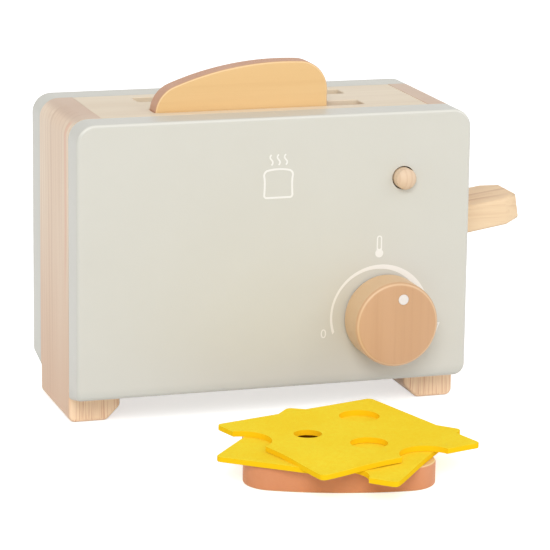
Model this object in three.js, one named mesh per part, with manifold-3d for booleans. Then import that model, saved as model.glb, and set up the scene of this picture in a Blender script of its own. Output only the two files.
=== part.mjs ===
// A wooden toy toaster with a rocking lever, a push button, a turning dial, two slices of toast and felt cheese.
// Millimetres, +Z up. The case stands on the floor at z = 0, its dial side faces -Y and its lever points to +X.
// Pieces are placed from the middle of the case: x from its centre line, y from the face of its front panel.
import * as THREE from "three";
import { mergeVertices, toCreasedNormals } from "three/addons/utils/BufferGeometryUtils.js";
import Module from "manifold-3d";

const wasm = await Module();
wasm.setup();

// Case: two painted panels with a wooden core between them
const caseWidth = 230;
const coreDepth = 68;
const panelThickness = 20;
const panelHeight = 155.5;
const panelCornerRadius = 11;
const panelLowerLeftRadius = 2.5;
const panelLowerRightRadius = 6.5;
const panelFaceEdge = 2;
const panelBackEdge = 0.8;
const footHeight = 18;
const footEdge = 2;
const footRadius = 4;
const footChamfer = 8;
const postThickness = 30;
const postShoulder = 19;
const topBoardThickness = 18;
const topBoardEdge = 0.8;
const baseBoardThickness = 12;
const baseBoardRise = 4;

// Slots for the toast
const slotLength = 124;
const slotShift = -1;
const slotWidth = 15;
const slotCornerRadius = 2.5;
const slotSpacing = 36;

// Slices of toast
const toastHeight = 98;
const toastFootWidth = 100;
const toastFootRadius = 9;
const toastWaistWidth = 93.6;
const toastWaistDrop = 42;
const toastLobeRadius = 17;
const toastLobeSpread = 34;
const toastDomeRadius = 175;
const toastThickness = 13;
const toastEdge = 1.2;

// Rocking lever, hinged on a pin at the left and leaving the case at the right
const leverTilt = 9;
const leverTravel = 10;
const leverThickness = 16;
const leverEdge = 2;
const handleWidth = 41;
const handleReach = 239;
const handleChamferLength = 10;
const handleChamferWidth = 8;
const armWidth = 53;
const armReach = 156;
const armHeel = 8;
const armCornerRadius = 3;
const neckRadius = 2.5;
const pivotInset = 10;
const pivotHeight = 69.1;
const pivotRadius = 3;
const pivotClearance = 0.1;
const pivotSeatDepth = 8;
const spacerRadius = 6;
const spacerClearance = 0.3;
const windowClearance = 1.5;
const windowStopGap = 0.3;
const windowCornerRadius = 3;

// Bars on the lever that the toast stands on
const toastReach = 79.1;
const toastSeat = 0.3;
const restSeat = 0.3;
const restHeight = 11;
const restWidth = 12;
const restInset = 20;
const restEdge = 1;

// Return spring between two screw eyes
const springInset = 23.5;
const springRadius = 4;
const springWire = 0.5;
const springTurns = 11;
const springHookRadius = 2.2;
const springHookGap = 0.3;
const eyeRadius = 3;
const eyeWire = 0.8;
const eyeStem = 4;
const eyeThread = 7;
const eyeGap = 0.15;

// Push button
const buttonInset = 40.2;
const buttonDrop = 37.9;
const buttonRadius = 6;
const buttonReach = 7.5;
const buttonDome = 3;
const buttonTravel = 3;
const buttonGap = 0.65;
const boreRadius = 8.6;
const boreDepth = 12;
const collarRadius = 7.9;
const collarThickness = 3;
const collarClearance = 0.3;
const tailRadius = 4;
const tailTipRadius = 1.5;
const tailTaper = 2.5;
const tailGap = 0.4;
const buttonSpringWire = 0.45;
const buttonSpringTurns = 3;
const buttonSpringGap = 0.2;
const plateWidth = 19.4;
const plateHeight = 33;
const plateThickness = 2;
const plateCornerRadius = 3;
const plateScrewSpacing = 26;

// Latch behind the button
const latchWidth = 10;
const latchThickness = 2;
const latchNose = 2;
const latchNoseHeight = 3.5;
const latchPivotDepth = 3.2;
const latchPivotDrop = 35.6;
const latchOffset = 1.5;
const latchBelow = 25;
const latchAbove = 38.5;
const latchTilt = 4.6;
const latchBossRadius = 2.4;
const latchPinRadius = 1.2;
const latchPinClearance = 0.1;
const latchPinInset = 0.4;
const earWidth = 4;
const earGap = 0.4;
const earDepth = 6;
const earBelow = 5;
const bridgeRise = 5.5;
const bridgeHeight = 6;
const bridgeDepth = 3;

// Dial knob
const knobInset = 49.9;
const knobRise = 37.8;
const knobRadius = 24.5;
const knobHeight = 21;
const knobFrontEdge = 2.4;
const knobRearEdge = 0.8;
const knobGap = 1;
const dotRadius = 3;
const dotDepth = 1;
const dotProud = 0.2;
const dotOffset = 14.8;
const dotTurn = 12.9;
const axleRadius = 4;
const axleSeat = 15;
const axleClearance = 0.3;
const axleEndPlay = 0.3;
const washerRadius = 12;
const washerGap = 0.1;
const retainerRadius = 10;
const retainerThickness = 3.5;

// Fastenings and joints
const glueGap = 0.05;
const holeEndGap = 0.3;
const dowelRadius = 4;
const dowelSeat = 12;
const dowelInset = 15;
const dowelRise = 24;
const backScrewInset = 15;
const backScrewRise = 28;
const backScrewLength = 40;
const backScrewRadius = 2;
const backScrewHead = 4;
const backScrewHeadDepth = 2.6;
const smallScrewLength = 9;
const smallScrewRadius = 1.2;
const smallScrewHead = 2.6;
const smallScrewHeadHeight = 1.6;
const crossLengthShare = 1.3;
const crossWidthShare = 0.3;
const crossDepthShare = 0.25;

// Loose slice in front of the case with two slices of felt cheese on it
const looseSliceX = 17.5;
const looseSliceY = -50.1;
const looseSliceTurn = 164.3;
const layGap = 0.1;
const cheeseSide = 102;
const cheeseThickness = 3;
const cheeseCornerRadius = 3;
const lowerCheeseX = 3.3;
const lowerCheeseY = -106.5;
const lowerCheeseTurn = -39.5;
const upperCheeseX = 9;
const upperCheeseY = -101.2;
const upperCheeseTurn = 16;

// Each row is one round hole or bite in a slice of cheese: its place across and along from the middle,
// and its diameter, as shares of the side of the slice
const upperHoleShares = [
  [0.243, 0.239, 0.218],
  [-0.185, 0.1, 0.149],
  [-0.004, -0.202, 0.198],
  [0.139, -0.525, 0.297],
  [-0.554, 0.181, 0.333],
];
const lowerHoleShares = [
  [0.25, 0.25, 0.17],
  [-0.195, 0.08, 0.21],
  [-0.02, -0.28, 0.16],
  [0.21, -0.52, 0.27],
];

// How finely round forms are cut
const fineSegments = 36;
const coarseSegments = 12;
const cornerSegments = 5;
const edgeSegments = 2;
const wireSides = 5;
const wireStepsPerTurn = 8;
const overrun = 2;
const weldDistance = 0.0001;
const creaseAngle = 0.6;

// Places that several pieces share
const panelTop = footHeight + panelHeight;
const coreFront = panelThickness;
const coreBack = panelThickness + coreDepth;
const coreMiddle = panelThickness + coreDepth / 2;
const caseDepth = coreBack + panelThickness;
const halfWidth = caseWidth / 2;
const innerHalfWidth = halfWidth - postThickness;
const boardHalfWidth = halfWidth - postShoulder;
const topBoardUnderside = panelTop - topBoardThickness;
const pivotX = pivotInset - innerHalfWidth;
const leverTop = leverThickness / 2;
const tiltAngle = THREE.MathUtils.degToRad(leverTilt);
const pressedAngle = THREE.MathUtils.degToRad(leverTilt - leverTravel);
const buttonX = halfWidth - buttonInset;
const buttonZ = panelTop - buttonDrop;
const knobX = halfWidth - knobInset;
const knobZ = footHeight + knobRise;
const plateScrewHeights = [buttonZ - plateScrewSpacing / 2, buttonZ + plateScrewSpacing / 2];
const plateBack = coreFront + plateThickness;
const retainerFront = coreFront + axleEndPlay;
const retainerBack = retainerFront + retainerThickness;
const latchAngle = THREE.MathUtils.degToRad(latchTilt);
const latchPivotY = coreFront + latchPivotDepth;
const latchPivotZ = buttonZ - latchPivotDrop;

const paint = { color: 0xddd9cd, roughness: 0.5, metalness: 0 };
const postWood = { color: 0xdcc6ac, roughness: 0.6, metalness: 0 };
const boardWood = { color: 0xe4d7c0, roughness: 0.6, metalness: 0 };
const leverWood = { color: 0xf0d5a8, roughness: 0.55, metalness: 0 };
const knobWood = { color: 0xd6ac82, roughness: 0.5, metalness: 0 };
const toastWood = { color: 0xefc589, roughness: 0.6, metalness: 0 };
const felt = { color: 0xffd728, roughness: 0.95, metalness: 0 };
const whitePaint = { color: 0xf6f4ee, roughness: 0.45, metalness: 0 };
const steel = { color: 0xb9bcc0, roughness: 0.3, metalness: 1 };
const greyFelt = { color: 0x8a8a86, roughness: 0.9, metalness: 0 };

// Joins and cuts of closed solids
function solidOf(geometry) {
  const bare = geometry.clone();
  bare.deleteAttribute("normal");
  bare.deleteAttribute("uv");
  const merged = mergeVertices(bare, weldDistance);
  const mesh = new wasm.Mesh({
    numProp: 3,
    vertProperties: merged.getAttribute("position").array,
    triVerts: new Uint32Array(merged.index.array),
  });
  return new wasm.Manifold(mesh);
}

function geometryOf(solid) {
  const mesh = solid.getMesh();
  const geometry = new THREE.BufferGeometry();
  geometry.setAttribute("position", new THREE.BufferAttribute(mesh.vertProperties, 3));
  geometry.setIndex(new THREE.BufferAttribute(mesh.triVerts, 1));
  return toCreasedNormals(geometry, creaseAngle);
}

function cut(geometry, tools) {
  return geometryOf(tools.reduce((solid, tool) => solid.subtract(solidOf(tool)), solidOf(geometry)));
}

function join(geometries) {
  const [first, ...others] = geometries;
  return geometryOf(others.reduce((solid, other) => solid.add(solidOf(other)), solidOf(first)));
}

// Basic forms
function rodAlongY(radius, from, to, x, z, segments = coarseSegments) {
  return new THREE.CylinderGeometry(radius, radius, to - from, segments).translate(x, (from + to) / 2, z);
}

function rodAlongX(radius, from, to, y, z, segments = coarseSegments) {
  return new THREE.CylinderGeometry(radius, radius, to - from, segments)
    .rotateZ(Math.PI / 2)
    .translate((from + to) / 2, y, z);
}

function rodAlongZ(radius, from, to, x, y, segments = coarseSegments) {
  return new THREE.CylinderGeometry(radius, radius, to - from, segments)
    .rotateX(Math.PI / 2)
    .translate(x, y, (from + to) / 2);
}

function block(from, to) {
  const size = to.map((value, axis) => value - from[axis]);
  const centre = to.map((value, axis) => (value + from[axis]) / 2);
  return new THREE.BoxGeometry(...size).translate(...centre);
}

function ring(radius, holeRadius, from, to, x, z, segments = fineSegments) {
  const disc = rodAlongY(radius, from, to, x, z, segments);
  return cut(disc, [rodAlongY(holeRadius, from - overrun, to + overrun, x, z, segments)]);
}

// A rectangle with round corners: the lower two can have radii of their own
function roundedOutline(width, height, upper, lowerRight = upper, lowerLeft = lowerRight) {
  const corners = [
    [1, -1, lowerRight],
    [1, 1, upper],
    [-1, 1, upper],
    [-1, -1, lowerLeft],
  ];
  return corners.flatMap(([right, up, radius], corner) =>
    Array.from({ length: cornerSegments + 1 }, (_, step) => {
      const angle = ((corner - 1 + step / cornerSegments) * Math.PI) / 2;
      return new THREE.Vector2(
        right * (width / 2 - radius) + radius * Math.cos(angle),
        up * (height / 2 - radius) + radius * Math.sin(angle),
      );
    }),
  );
}

// A board cut to an outline, lying on the floor, with its long edges eased
function board(shape, thickness, edge) {
  const geometry = new THREE.ExtrudeGeometry(shape, {
    depth: thickness - 2 * edge,
    bevelEnabled: edge > 0,
    bevelThickness: edge,
    bevelSize: edge,
    bevelOffset: -edge,
    bevelSegments: edgeSegments,
    curveSegments: cornerSegments,
  });
  return geometry.translate(0, 0, edge);
}

// The same board stood up: its outline is seen from the front and its thickness runs back from a given depth
function standingBoard(shape, thickness, edge, depth) {
  return board(shape, thickness, edge)
    .rotateX(Math.PI / 2)
    .translate(0, depth + thickness, 0);
}

// A turned piece along Y: each row of the profile is a radius and a depth, from the front end to the rear end
function turned(profile, x, z, segments = coarseSegments) {
  const points = profile.map(([radius, depth]) => new THREE.Vector2(radius, depth));
  return new THREE.LatheGeometry(points, segments).translate(x, 0, z);
}

// Points of a rounded edge between two of a profile's faces, from one angle to another
function roundEdge(centreRadius, centreDepth, edge, fromAngle, toAngle) {
  return Array.from({ length: edgeSegments + 2 }, (_, step) => {
    const angle = fromAngle + ((toAngle - fromAngle) * step) / (edgeSegments + 1);
    return [centreRadius + edge * Math.cos(angle), centreDepth + edge * Math.sin(angle)];
  });
}

const toaster = new THREE.Group();

function piece(name, geometry, finish, parent = toaster) {
  const mesh = new THREE.Mesh(geometry, new THREE.MeshStandardMaterial(finish));
  mesh.name = name;
  parent.add(mesh);
  return mesh;
}

// Places near the four corners of a panel
function cornerPlaces(inset, rise) {
  const across = halfWidth - inset;
  return [
    ["lower_left", -across, footHeight + rise],
    ["lower_right", across, footHeight + rise],
    ["upper_left", -across, panelTop - rise],
    ["upper_right", across, panelTop - rise],
  ];
}

const dowelPlaces = cornerPlaces(dowelInset, dowelRise);
const backScrewPlaces = cornerPlaces(backScrewInset, backScrewRise);

// Painted panel: a rounded rectangle with a round edge on its face and a slightly eased edge at its back,
// seen from its face
function panelGeometry(lowerRight, lowerLeft) {
  const levels = Array.from({ length: edgeSegments + 2 }, (_, step) => {
    const angle = ((step / (edgeSegments + 1)) * Math.PI) / 2;
    return [panelFaceEdge * (1 - Math.cos(angle)), panelFaceEdge * (1 - Math.sin(angle))];
  });
  levels.push([panelThickness - panelBackEdge, 0], [panelThickness, panelBackEdge]);
  const middle = footHeight + panelHeight / 2;
  const positions = [0, 0, middle];
  levels.forEach(([depth, inset]) => {
    const width = caseWidth - 2 * inset;
    const height = panelHeight - 2 * inset;
    const radii = [panelCornerRadius, lowerRight, lowerLeft].map((radius) => radius - inset);
    roundedOutline(width, height, ...radii).forEach((point) => {
      positions.push(point.x, depth, middle + point.y);
    });
  });
  positions.push(0, panelThickness, middle);
  const count = (positions.length / 3 - 2) / levels.length;
  const rear = 1 + (levels.length - 1) * count;
  const faces = [];
  for (let point = 0; point < count; point += 1) {
    const next = (point + 1) % count;
    faces.push(0, 1 + point, 1 + next);
    faces.push(rear + count, rear + next, rear + point);
    for (let near = 1; near < rear; near += count) {
      const far = near + count;
      faces.push(near + point, far + point, far + next);
      faces.push(near + point, far + next, near + next);
    }
  }
  const geometry = new THREE.BufferGeometry();
  geometry.setAttribute("position", new THREE.Float32BufferAttribute(positions, 3));
  geometry.setIndex(faces);
  return geometry;
}

function dowelHoles() {
  return dowelPlaces.map(([, x, z]) => {
    const reach = dowelSeat + holeEndGap;
    return rodAlongY(dowelRadius + glueGap, coreFront - reach, coreFront + reach, x, z);
  });
}

// Screw seen from behind: its head's rear face is at the given depth and it points to the front
function woodScrew(gap, x, depth, z) {
  const profile = [
    [0, depth - backScrewLength - gap],
    [backScrewRadius + gap, depth - backScrewLength + backScrewRadius - gap],
    [backScrewRadius + gap, depth - backScrewHeadDepth],
    [backScrewHead + gap, depth],
    [0, depth],
  ];
  return turned(profile, x, z);
}

function panScrew(x, seat, z) {
  const profile = [
    [0, seat - smallScrewLength],
    [smallScrewRadius, seat - smallScrewLength + smallScrewRadius],
    [smallScrewRadius, seat],
    [smallScrewHead, seat],
    [smallScrewHead, seat + smallScrewHeadHeight / 2],
    [smallScrewHead - smallScrewHeadHeight / 2, seat + smallScrewHeadHeight],
    [0, seat + smallScrewHeadHeight],
  ];
  const geometry = turned(profile, x, z);
  return cut(geometry, crossRecess(smallScrewHead, x, seat + smallScrewHeadHeight, z));
}

function smallScrewHole(x, seat, z) {
  return rodAlongY(smallScrewRadius + glueGap, seat - smallScrewLength - holeEndGap, seat + overrun, x, z);
}

function crossRecess(headRadius, x, depth, z) {
  const long = (headRadius * crossLengthShare) / 2;
  const wide = (headRadius * crossWidthShare) / 2;
  const deep = headRadius * crossDepthShare;
  return [
    block([x - long, depth - deep, z - wide], [x + long, depth + overrun, z + wide]),
    block([x - wide, depth - deep, z - long], [x + wide, depth + overrun, z + long]),
  ];
}

function frontPanel() {
  const boreFloor = coreFront - boreDepth;
  const pivotFloor = coreFront - pivotSeatDepth - holeEndGap;
  const holes = [
    rodAlongY(buttonRadius + buttonGap, -overrun, coreFront, buttonX, buttonZ, fineSegments),
    rodAlongY(boreRadius, boreFloor, coreFront + overrun, buttonX, buttonZ, fineSegments),
    rodAlongY(axleRadius + axleClearance, -overrun, coreFront + overrun, knobX, knobZ),
    rodAlongY(pivotRadius + glueGap, pivotFloor, coreFront + overrun, pivotX, pivotHeight, fineSegments),
    ...plateScrewHeights.map((z) => smallScrewHole(buttonX, plateBack, z)),
    ...dowelHoles(),
  ];
  const plain = panelGeometry(panelLowerRightRadius, panelLowerLeftRadius);
  piece("front_panel", cut(plain, holes), paint);
}

function backPanel() {
  const pivotFloor = coreBack + pivotSeatDepth + holeEndGap;
  const holes = [
    rodAlongY(pivotRadius + glueGap, coreBack - overrun, pivotFloor, pivotX, pivotHeight, fineSegments),
    ...backScrewPlaces.flatMap(([, x, z]) => [
      woodScrew(glueGap, x, caseDepth, z),
      rodAlongY(backScrewHead + glueGap, caseDepth - glueGap, caseDepth + overrun, x, z),
    ]),
  ];
  const facing = panelGeometry(panelLowerLeftRadius, panelLowerRightRadius);
  const plain = facing.rotateZ(Math.PI).translate(0, caseDepth, 0);
  piece("back_panel", cut(plain, holes), paint);
  backScrewPlaces.forEach(([name, x, z]) => {
    const screw = woodScrew(0, x, caseDepth, z);
    piece("back_screw_" + name, cut(screw, crossRecess(backScrewHead, x, caseDepth, z)), steel);
  });
}

// Left post: rebated at the top for the top board, and carried on below the panels as a foot
function postGeometry() {
  const post = new THREE.Shape();
  post.moveTo(-halfWidth, footHeight);
  post.lineTo(-innerHalfWidth, footHeight);
  post.lineTo(-innerHalfWidth, topBoardUnderside);
  post.lineTo(-boardHalfWidth, topBoardUnderside);
  post.lineTo(-boardHalfWidth, panelTop);
  const cornerX = panelCornerRadius - halfWidth;
  post.absarc(cornerX, panelTop - panelCornerRadius, panelCornerRadius, Math.PI / 2, Math.PI);
  const foot = new THREE.Shape();
  const lap = footHeight + panelCornerRadius;
  foot.absarc(footRadius - halfWidth, footRadius, footRadius, Math.PI, (3 * Math.PI) / 2);
  const soften = footRadius * Math.tan(Math.PI / 8);
  const floorEnd = -innerHalfWidth - footChamfer - soften;
  foot.absarc(floorEnd, footRadius, footRadius, (3 * Math.PI) / 2, (7 * Math.PI) / 4);
  foot.absarc(-innerHalfWidth - footRadius, footChamfer + soften, footRadius, (7 * Math.PI) / 4, 2 * Math.PI);
  foot.lineTo(-innerHalfWidth, lap);
  foot.lineTo(-halfWidth, lap);
  return join([
    standingBoard(post, coreDepth, 0, coreFront),
    standingBoard(foot, coreDepth, footEdge, coreFront),
  ]);
}

// Height of one face of the lever where it crosses a given x, at a given tilt
function leverFace(x, angle, side) {
  return pivotHeight + (x - pivotX) * Math.tan(angle) + (side * leverTop) / Math.cos(angle);
}

// Window in the right post that the lever leaves through: its ends stop the lever
function leverWindow() {
  const top = leverFace(halfWidth, tiltAngle, 1) + windowStopGap;
  const bottom = leverFace(halfWidth, pressedAngle, -1) - windowStopGap;
  const width = handleWidth + 2 * windowClearance;
  const shape = new THREE.Shape(roundedOutline(width, top - bottom, windowCornerRadius));
  return board(shape, postThickness + 2 * overrun, 0)
    .rotateX(Math.PI / 2)
    .rotateZ(Math.PI / 2)
    .translate(innerHalfWidth - overrun, coreMiddle, (top + bottom) / 2);
}

function posts() {
  const screwHoles = backScrewPlaces.map(([, x, z]) => woodScrew(glueGap, x, caseDepth, z));
  piece("left_post", cut(postGeometry(), [...dowelHoles(), ...screwHoles]), postWood);
  const turnedRound = postGeometry().rotateZ(Math.PI).translate(0, caseDepth, 0);
  piece("right_post", cut(turnedRound, [leverWindow(), ...dowelHoles(), ...screwHoles]), postWood);
}

function dowels() {
  dowelPlaces.forEach(([name, x, z]) => {
    const dowel = rodAlongY(dowelRadius, coreFront - dowelSeat, coreFront + dowelSeat, x, z);
    piece("panel_dowel_" + name, dowel, boardWood);
  });
}

// Lower spring eye, in the lever's own frame and in the case
const lowerEyeRise = leverTop + eyeStem + eyeWire + eyeRadius;
const springX = innerHalfWidth - springInset;
const springReach = (springX - pivotX + lowerEyeRise * Math.sin(tiltAngle)) / Math.cos(tiltAngle);
const lowerEyeZ = pivotHeight + springReach * Math.sin(tiltAngle) + lowerEyeRise * Math.cos(tiltAngle);
const upperEyeZ = topBoardUnderside - eyeStem - eyeWire - eyeRadius;

function boards() {
  const outline = new THREE.Shape([
    new THREE.Vector2(-boardHalfWidth, -coreDepth / 2),
    new THREE.Vector2(boardHalfWidth, -coreDepth / 2),
    new THREE.Vector2(boardHalfWidth, coreDepth / 2),
    new THREE.Vector2(-boardHalfWidth, coreDepth / 2),
  ]);
  outline.holes = [-1, 1].map((side) => {
    const shift = new THREE.Vector2(slotShift, (side * slotSpacing) / 2);
    return new THREE.Path(
      roundedOutline(slotLength, slotWidth, slotCornerRadius).map((point) => point.add(shift)),
    );
  });
  const top = board(outline, topBoardThickness, topBoardEdge).translate(0, coreMiddle, topBoardUnderside);
  const holeTop = topBoardUnderside + eyeThread + holeEndGap;
  const eyeHole = rodAlongZ(eyeWire + eyeGap, topBoardUnderside - overrun, holeTop, springX, coreMiddle);
  piece("top_board", cut(top, [eyeHole]), boardWood);
  const baseUnderside = footHeight + baseBoardRise;
  const base = block(
    [-innerHalfWidth, coreFront, baseUnderside],
    [innerHalfWidth, coreBack, baseUnderside + baseBoardThickness],
  );
  piece("base_board", base, boardWood);
}

// The rocking lever's frame sits on the pivot pin: x runs out along the lever, z up from its middle
const rocker = new THREE.Group();
rocker.position.set(pivotX, coreMiddle, pivotHeight);
rocker.rotation.y = -tiltAngle;
toaster.add(rocker);

function leverArm() {
  const arm = armWidth / 2;
  const handle = handleWidth / 2;
  const radius = armCornerRadius;
  const quarter = Math.PI / 2;
  const shape = new THREE.Shape();
  shape.absarc(armReach - radius, radius - arm, radius, -quarter, 0);
  shape.absarc(armReach + neckRadius, -handle - neckRadius, neckRadius, Math.PI, quarter, true);
  shape.lineTo(handleReach - handleChamferLength, -handle);
  shape.lineTo(handleReach, handleChamferWidth - handle);
  shape.lineTo(handleReach, handle - handleChamferWidth);
  shape.lineTo(handleReach - handleChamferLength, handle);
  shape.absarc(armReach + neckRadius, handle + neckRadius, neckRadius, -quarter, -Math.PI, true);
  shape.absarc(armReach - radius, arm - radius, radius, 0, quarter);
  shape.absarc(radius - armHeel, arm - radius, radius, quarter, Math.PI);
  shape.absarc(radius - armHeel, radius - arm, radius, Math.PI, Math.PI + quarter);
  const plain = board(shape, leverThickness, leverEdge).translate(0, 0, -leverTop);
  const reach = arm + overrun;
  const pivotHole = rodAlongY(pivotRadius + pivotClearance, -reach, reach, 0, 0, fineSegments);
  const eyeFloor = leverTop - eyeThread - holeEndGap;
  const eyeHole = rodAlongZ(eyeWire + eyeGap, eyeFloor, leverTop + overrun, springReach, 0);
  piece("lever_arm", cut(plain, [pivotHole, eyeHole]), leverWood, rocker);
}

function toastRests() {
  const depth = armWidth - 2 * armCornerRadius;
  const rise = leverTop + restSeat + restHeight / 2;
  [
    ["toast_rest_left", -1],
    ["toast_rest_right", 1],
  ].forEach(([name, side]) => {
    const bar = standingBoard(
      new THREE.Shape(roundedOutline(restWidth, restHeight, restEdge)),
      depth,
      0,
      -depth / 2,
    );
    bar.translate(toastReach + side * (toastFootWidth / 2 - restInset), 0, rise);
    piece(name, bar, leverWood, rocker);
  });
}

function pivot() {
  const pinFront = coreFront - pivotSeatDepth;
  const pinBack = coreBack + pivotSeatDepth;
  piece("pivot_pin", rodAlongY(pivotRadius, pinFront, pinBack, pivotX, pivotHeight, fineSegments), steel);
  const sides = [
    ["pivot_spacer_front", coreFront + spacerClearance, coreMiddle - armWidth / 2 - spacerClearance],
    ["pivot_spacer_rear", coreMiddle + armWidth / 2 + spacerClearance, coreBack - spacerClearance],
  ];
  sides.forEach(([name, from, to]) => {
    const hole = pivotRadius + pivotClearance;
    piece(name, ring(spacerRadius, hole, from, to, pivotX, pivotHeight), boardWood);
  });
}

// Screw eye: its ring is round the origin and its stem points up
function screwEye() {
  const eye = new THREE.TorusGeometry(eyeRadius, eyeWire, wireSides, coarseSegments).rotateX(Math.PI / 2);
  return join([eye, rodAlongZ(eyeWire, eyeRadius, eyeRadius + eyeWire + eyeStem + eyeThread, 0, 0)]);
}

// A wire along a list of points
function wire(points, radius) {
  const section = new THREE.Shape(
    Array.from({ length: wireSides }, (_, side) => {
      const angle = (2 * Math.PI * side) / wireSides;
      return new THREE.Vector2(radius * Math.cos(angle), radius * Math.sin(angle));
    }),
  );
  return new THREE.ExtrudeGeometry(section, {
    steps: points.length - 1,
    bevelEnabled: false,
    extrudePath: new THREE.CatmullRomCurve3(points, false, "centripetal"),
  });
}

// Least gap between parts of one wire that lie more than half a turn apart along it
function leastGap(points, radius) {
  const apart = wireStepsPerTurn / 2 + 1;
  return points.reduce(
    (least, point, place) =>
      points.slice(place + apart).reduce((gap, other) => Math.min(gap, point.distanceTo(other)), least),
    Infinity,
  ) - 2 * radius;
}

function coilPoints(radius, turns, from, to) {
  const steps = turns * wireStepsPerTurn;
  return Array.from({ length: steps + 1 }, (_, step) => {
    const angle = (2 * Math.PI * step) / wireStepsPerTurn;
    const height = from + ((to - from) * step) / steps;
    return new THREE.Vector3(radius * Math.cos(angle), radius * Math.sin(angle), height);
  });
}

// Hook at one end of the spring: three quarters of a turn round the wire of an eye, starting at the coil's side
function hookPoints(centre, side) {
  const steps = (3 * wireStepsPerTurn) / 4;
  return Array.from({ length: steps + 1 }, (_, step) => {
    const angle = (2 * Math.PI * step) / wireStepsPerTurn;
    const across = springHookRadius * Math.sin(angle);
    return new THREE.Vector3(0, across, centre - side * springHookRadius * Math.cos(angle));
  });
}

function returnSpring() {
  const lowerEye = piece("spring_eye_lower", screwEye().rotateX(Math.PI), steel, rocker);
  lowerEye.position.set(springReach, 0, lowerEyeRise);
  const upperEye = piece("spring_eye_upper", screwEye(), steel);
  upperEye.position.set(springX, coreMiddle, upperEyeZ);
  const shift = eyeRadius + springHookRadius - springWire - eyeWire - springHookGap;
  const lowerHook = lowerEyeZ + shift;
  const upperHook = upperEyeZ - shift;
  const clear = 2 * springHookRadius;
  const points = [
    ...hookPoints(lowerHook, -1).reverse(),
    ...coilPoints(springRadius, springTurns, lowerHook + clear, upperHook - clear),
    ...hookPoints(upperHook, 1),
  ];
  console.log("return spring: least gap between turns", leastGap(points, springWire).toFixed(2), "mm");
  const spring = piece("return_spring", wire(points, springWire), steel);
  spring.position.set(springX, coreMiddle, 0);
}

// One slice of toast seen from the front, the middle of its lower edge at the origin
function toastShape() {
  const lobeReach = toastDomeRadius - toastLobeRadius;
  const domeCentre = toastHeight - toastDomeRadius;
  const lobeHeight = domeCentre + Math.sqrt(lobeReach ** 2 - toastLobeSpread ** 2);
  const waist = new THREE.Vector2(toastWaistWidth / 2, toastHeight - toastWaistDrop);
  const toWaist = new THREE.Vector2(waist.x - toastLobeSpread, waist.y - lobeHeight);
  const lobeStart = toWaist.angle() - 2 * Math.PI + Math.acos(toastLobeRadius / toWaist.length());
  const lobeEnd = Math.acos(toastLobeSpread / lobeReach);
  const start = [
    toastLobeSpread + toastLobeRadius * Math.cos(lobeStart),
    lobeHeight + toastLobeRadius * Math.sin(lobeStart),
  ];
  const foot = toastFootWidth / 2;
  const shape = new THREE.Shape();
  shape.absarc(foot - toastFootRadius, toastFootRadius, toastFootRadius, -Math.PI / 2, 0);
  shape.quadraticCurveTo(waist.x, waist.y, ...start);
  shape.absarc(toastLobeSpread, lobeHeight, toastLobeRadius, lobeStart, lobeEnd);
  shape.absarc(0, domeCentre, toastDomeRadius, lobeEnd, Math.PI - lobeEnd);
  shape.absarc(-toastLobeSpread, lobeHeight, toastLobeRadius, Math.PI - lobeEnd, Math.PI - lobeStart);
  shape.quadraticCurveTo(-waist.x, waist.y, -foot, toastFootRadius);
  shape.absarc(toastFootRadius - foot, toastFootRadius, toastFootRadius, Math.PI, (3 * Math.PI) / 2);
  return shape;
}

function toastSlice() {
  const slice = standingBoard(toastShape(), toastThickness, toastEdge, -toastThickness / 2);
  const mesh = piece("toast_slice", slice, toastWood, rocker);
  mesh.position.set(toastReach, -slotSpacing / 2, leverTop + restSeat + restHeight + toastSeat);
}

function knob() {
  const back = -knobGap;
  const face = back - knobHeight;
  const quarter = Math.PI / 2;
  const body = turned(
    [
      [0, face],
      ...roundEdge(knobRadius - knobFrontEdge, face + knobFrontEdge, knobFrontEdge, -quarter, 0),
      ...roundEdge(knobRadius - knobRearEdge, back - knobRearEdge, knobRearEdge, 0, quarter),
      [0, back],
    ],
    knobX,
    knobZ,
    fineSegments,
  );
  const socketFloor = back - axleSeat - holeEndGap;
  const socket = rodAlongY(axleRadius + glueGap, socketFloor, back + overrun, knobX, knobZ);
  const turn = THREE.MathUtils.degToRad(dotTurn);
  const dotX = knobX + dotOffset * Math.sin(turn);
  const dotZ = knobZ + dotOffset * Math.cos(turn);
  const dotBack = face + dotDepth;
  const dotHole = rodAlongY(dotRadius + glueGap, face - overrun, dotBack + glueGap, dotX, dotZ, fineSegments);
  piece("knob", cut(body, [socket, dotHole]), knobWood);
  piece("knob_dot", rodAlongY(dotRadius, face - dotProud, dotBack, dotX, dotZ, fineSegments), whitePaint);

  const screwHole = smallScrewHole(knobX, retainerBack, knobZ);
  const axle = rodAlongY(axleRadius, back - axleSeat, retainerFront - glueGap, knobX, knobZ);
  piece("knob_axle", cut(axle, [screwHole]), leverWood);
  const washer = ring(washerRadius, axleRadius + axleClearance, back + washerGap, -washerGap, knobX, knobZ);
  piece("knob_washer", washer, greyFelt);
  const retainer = rodAlongY(retainerRadius, retainerFront, retainerBack, knobX, knobZ, fineSegments);
  piece("knob_retainer", cut(retainer, [screwHole]), boardWood);
  piece("knob_screw", panScrew(knobX, retainerBack, knobZ), steel);
}

// Depth of the latch's front face at a given height
function latchFace(z) {
  return latchPivotY + latchOffset / Math.cos(latchAngle) + (z - latchPivotZ) * Math.tan(latchAngle);
}

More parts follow.
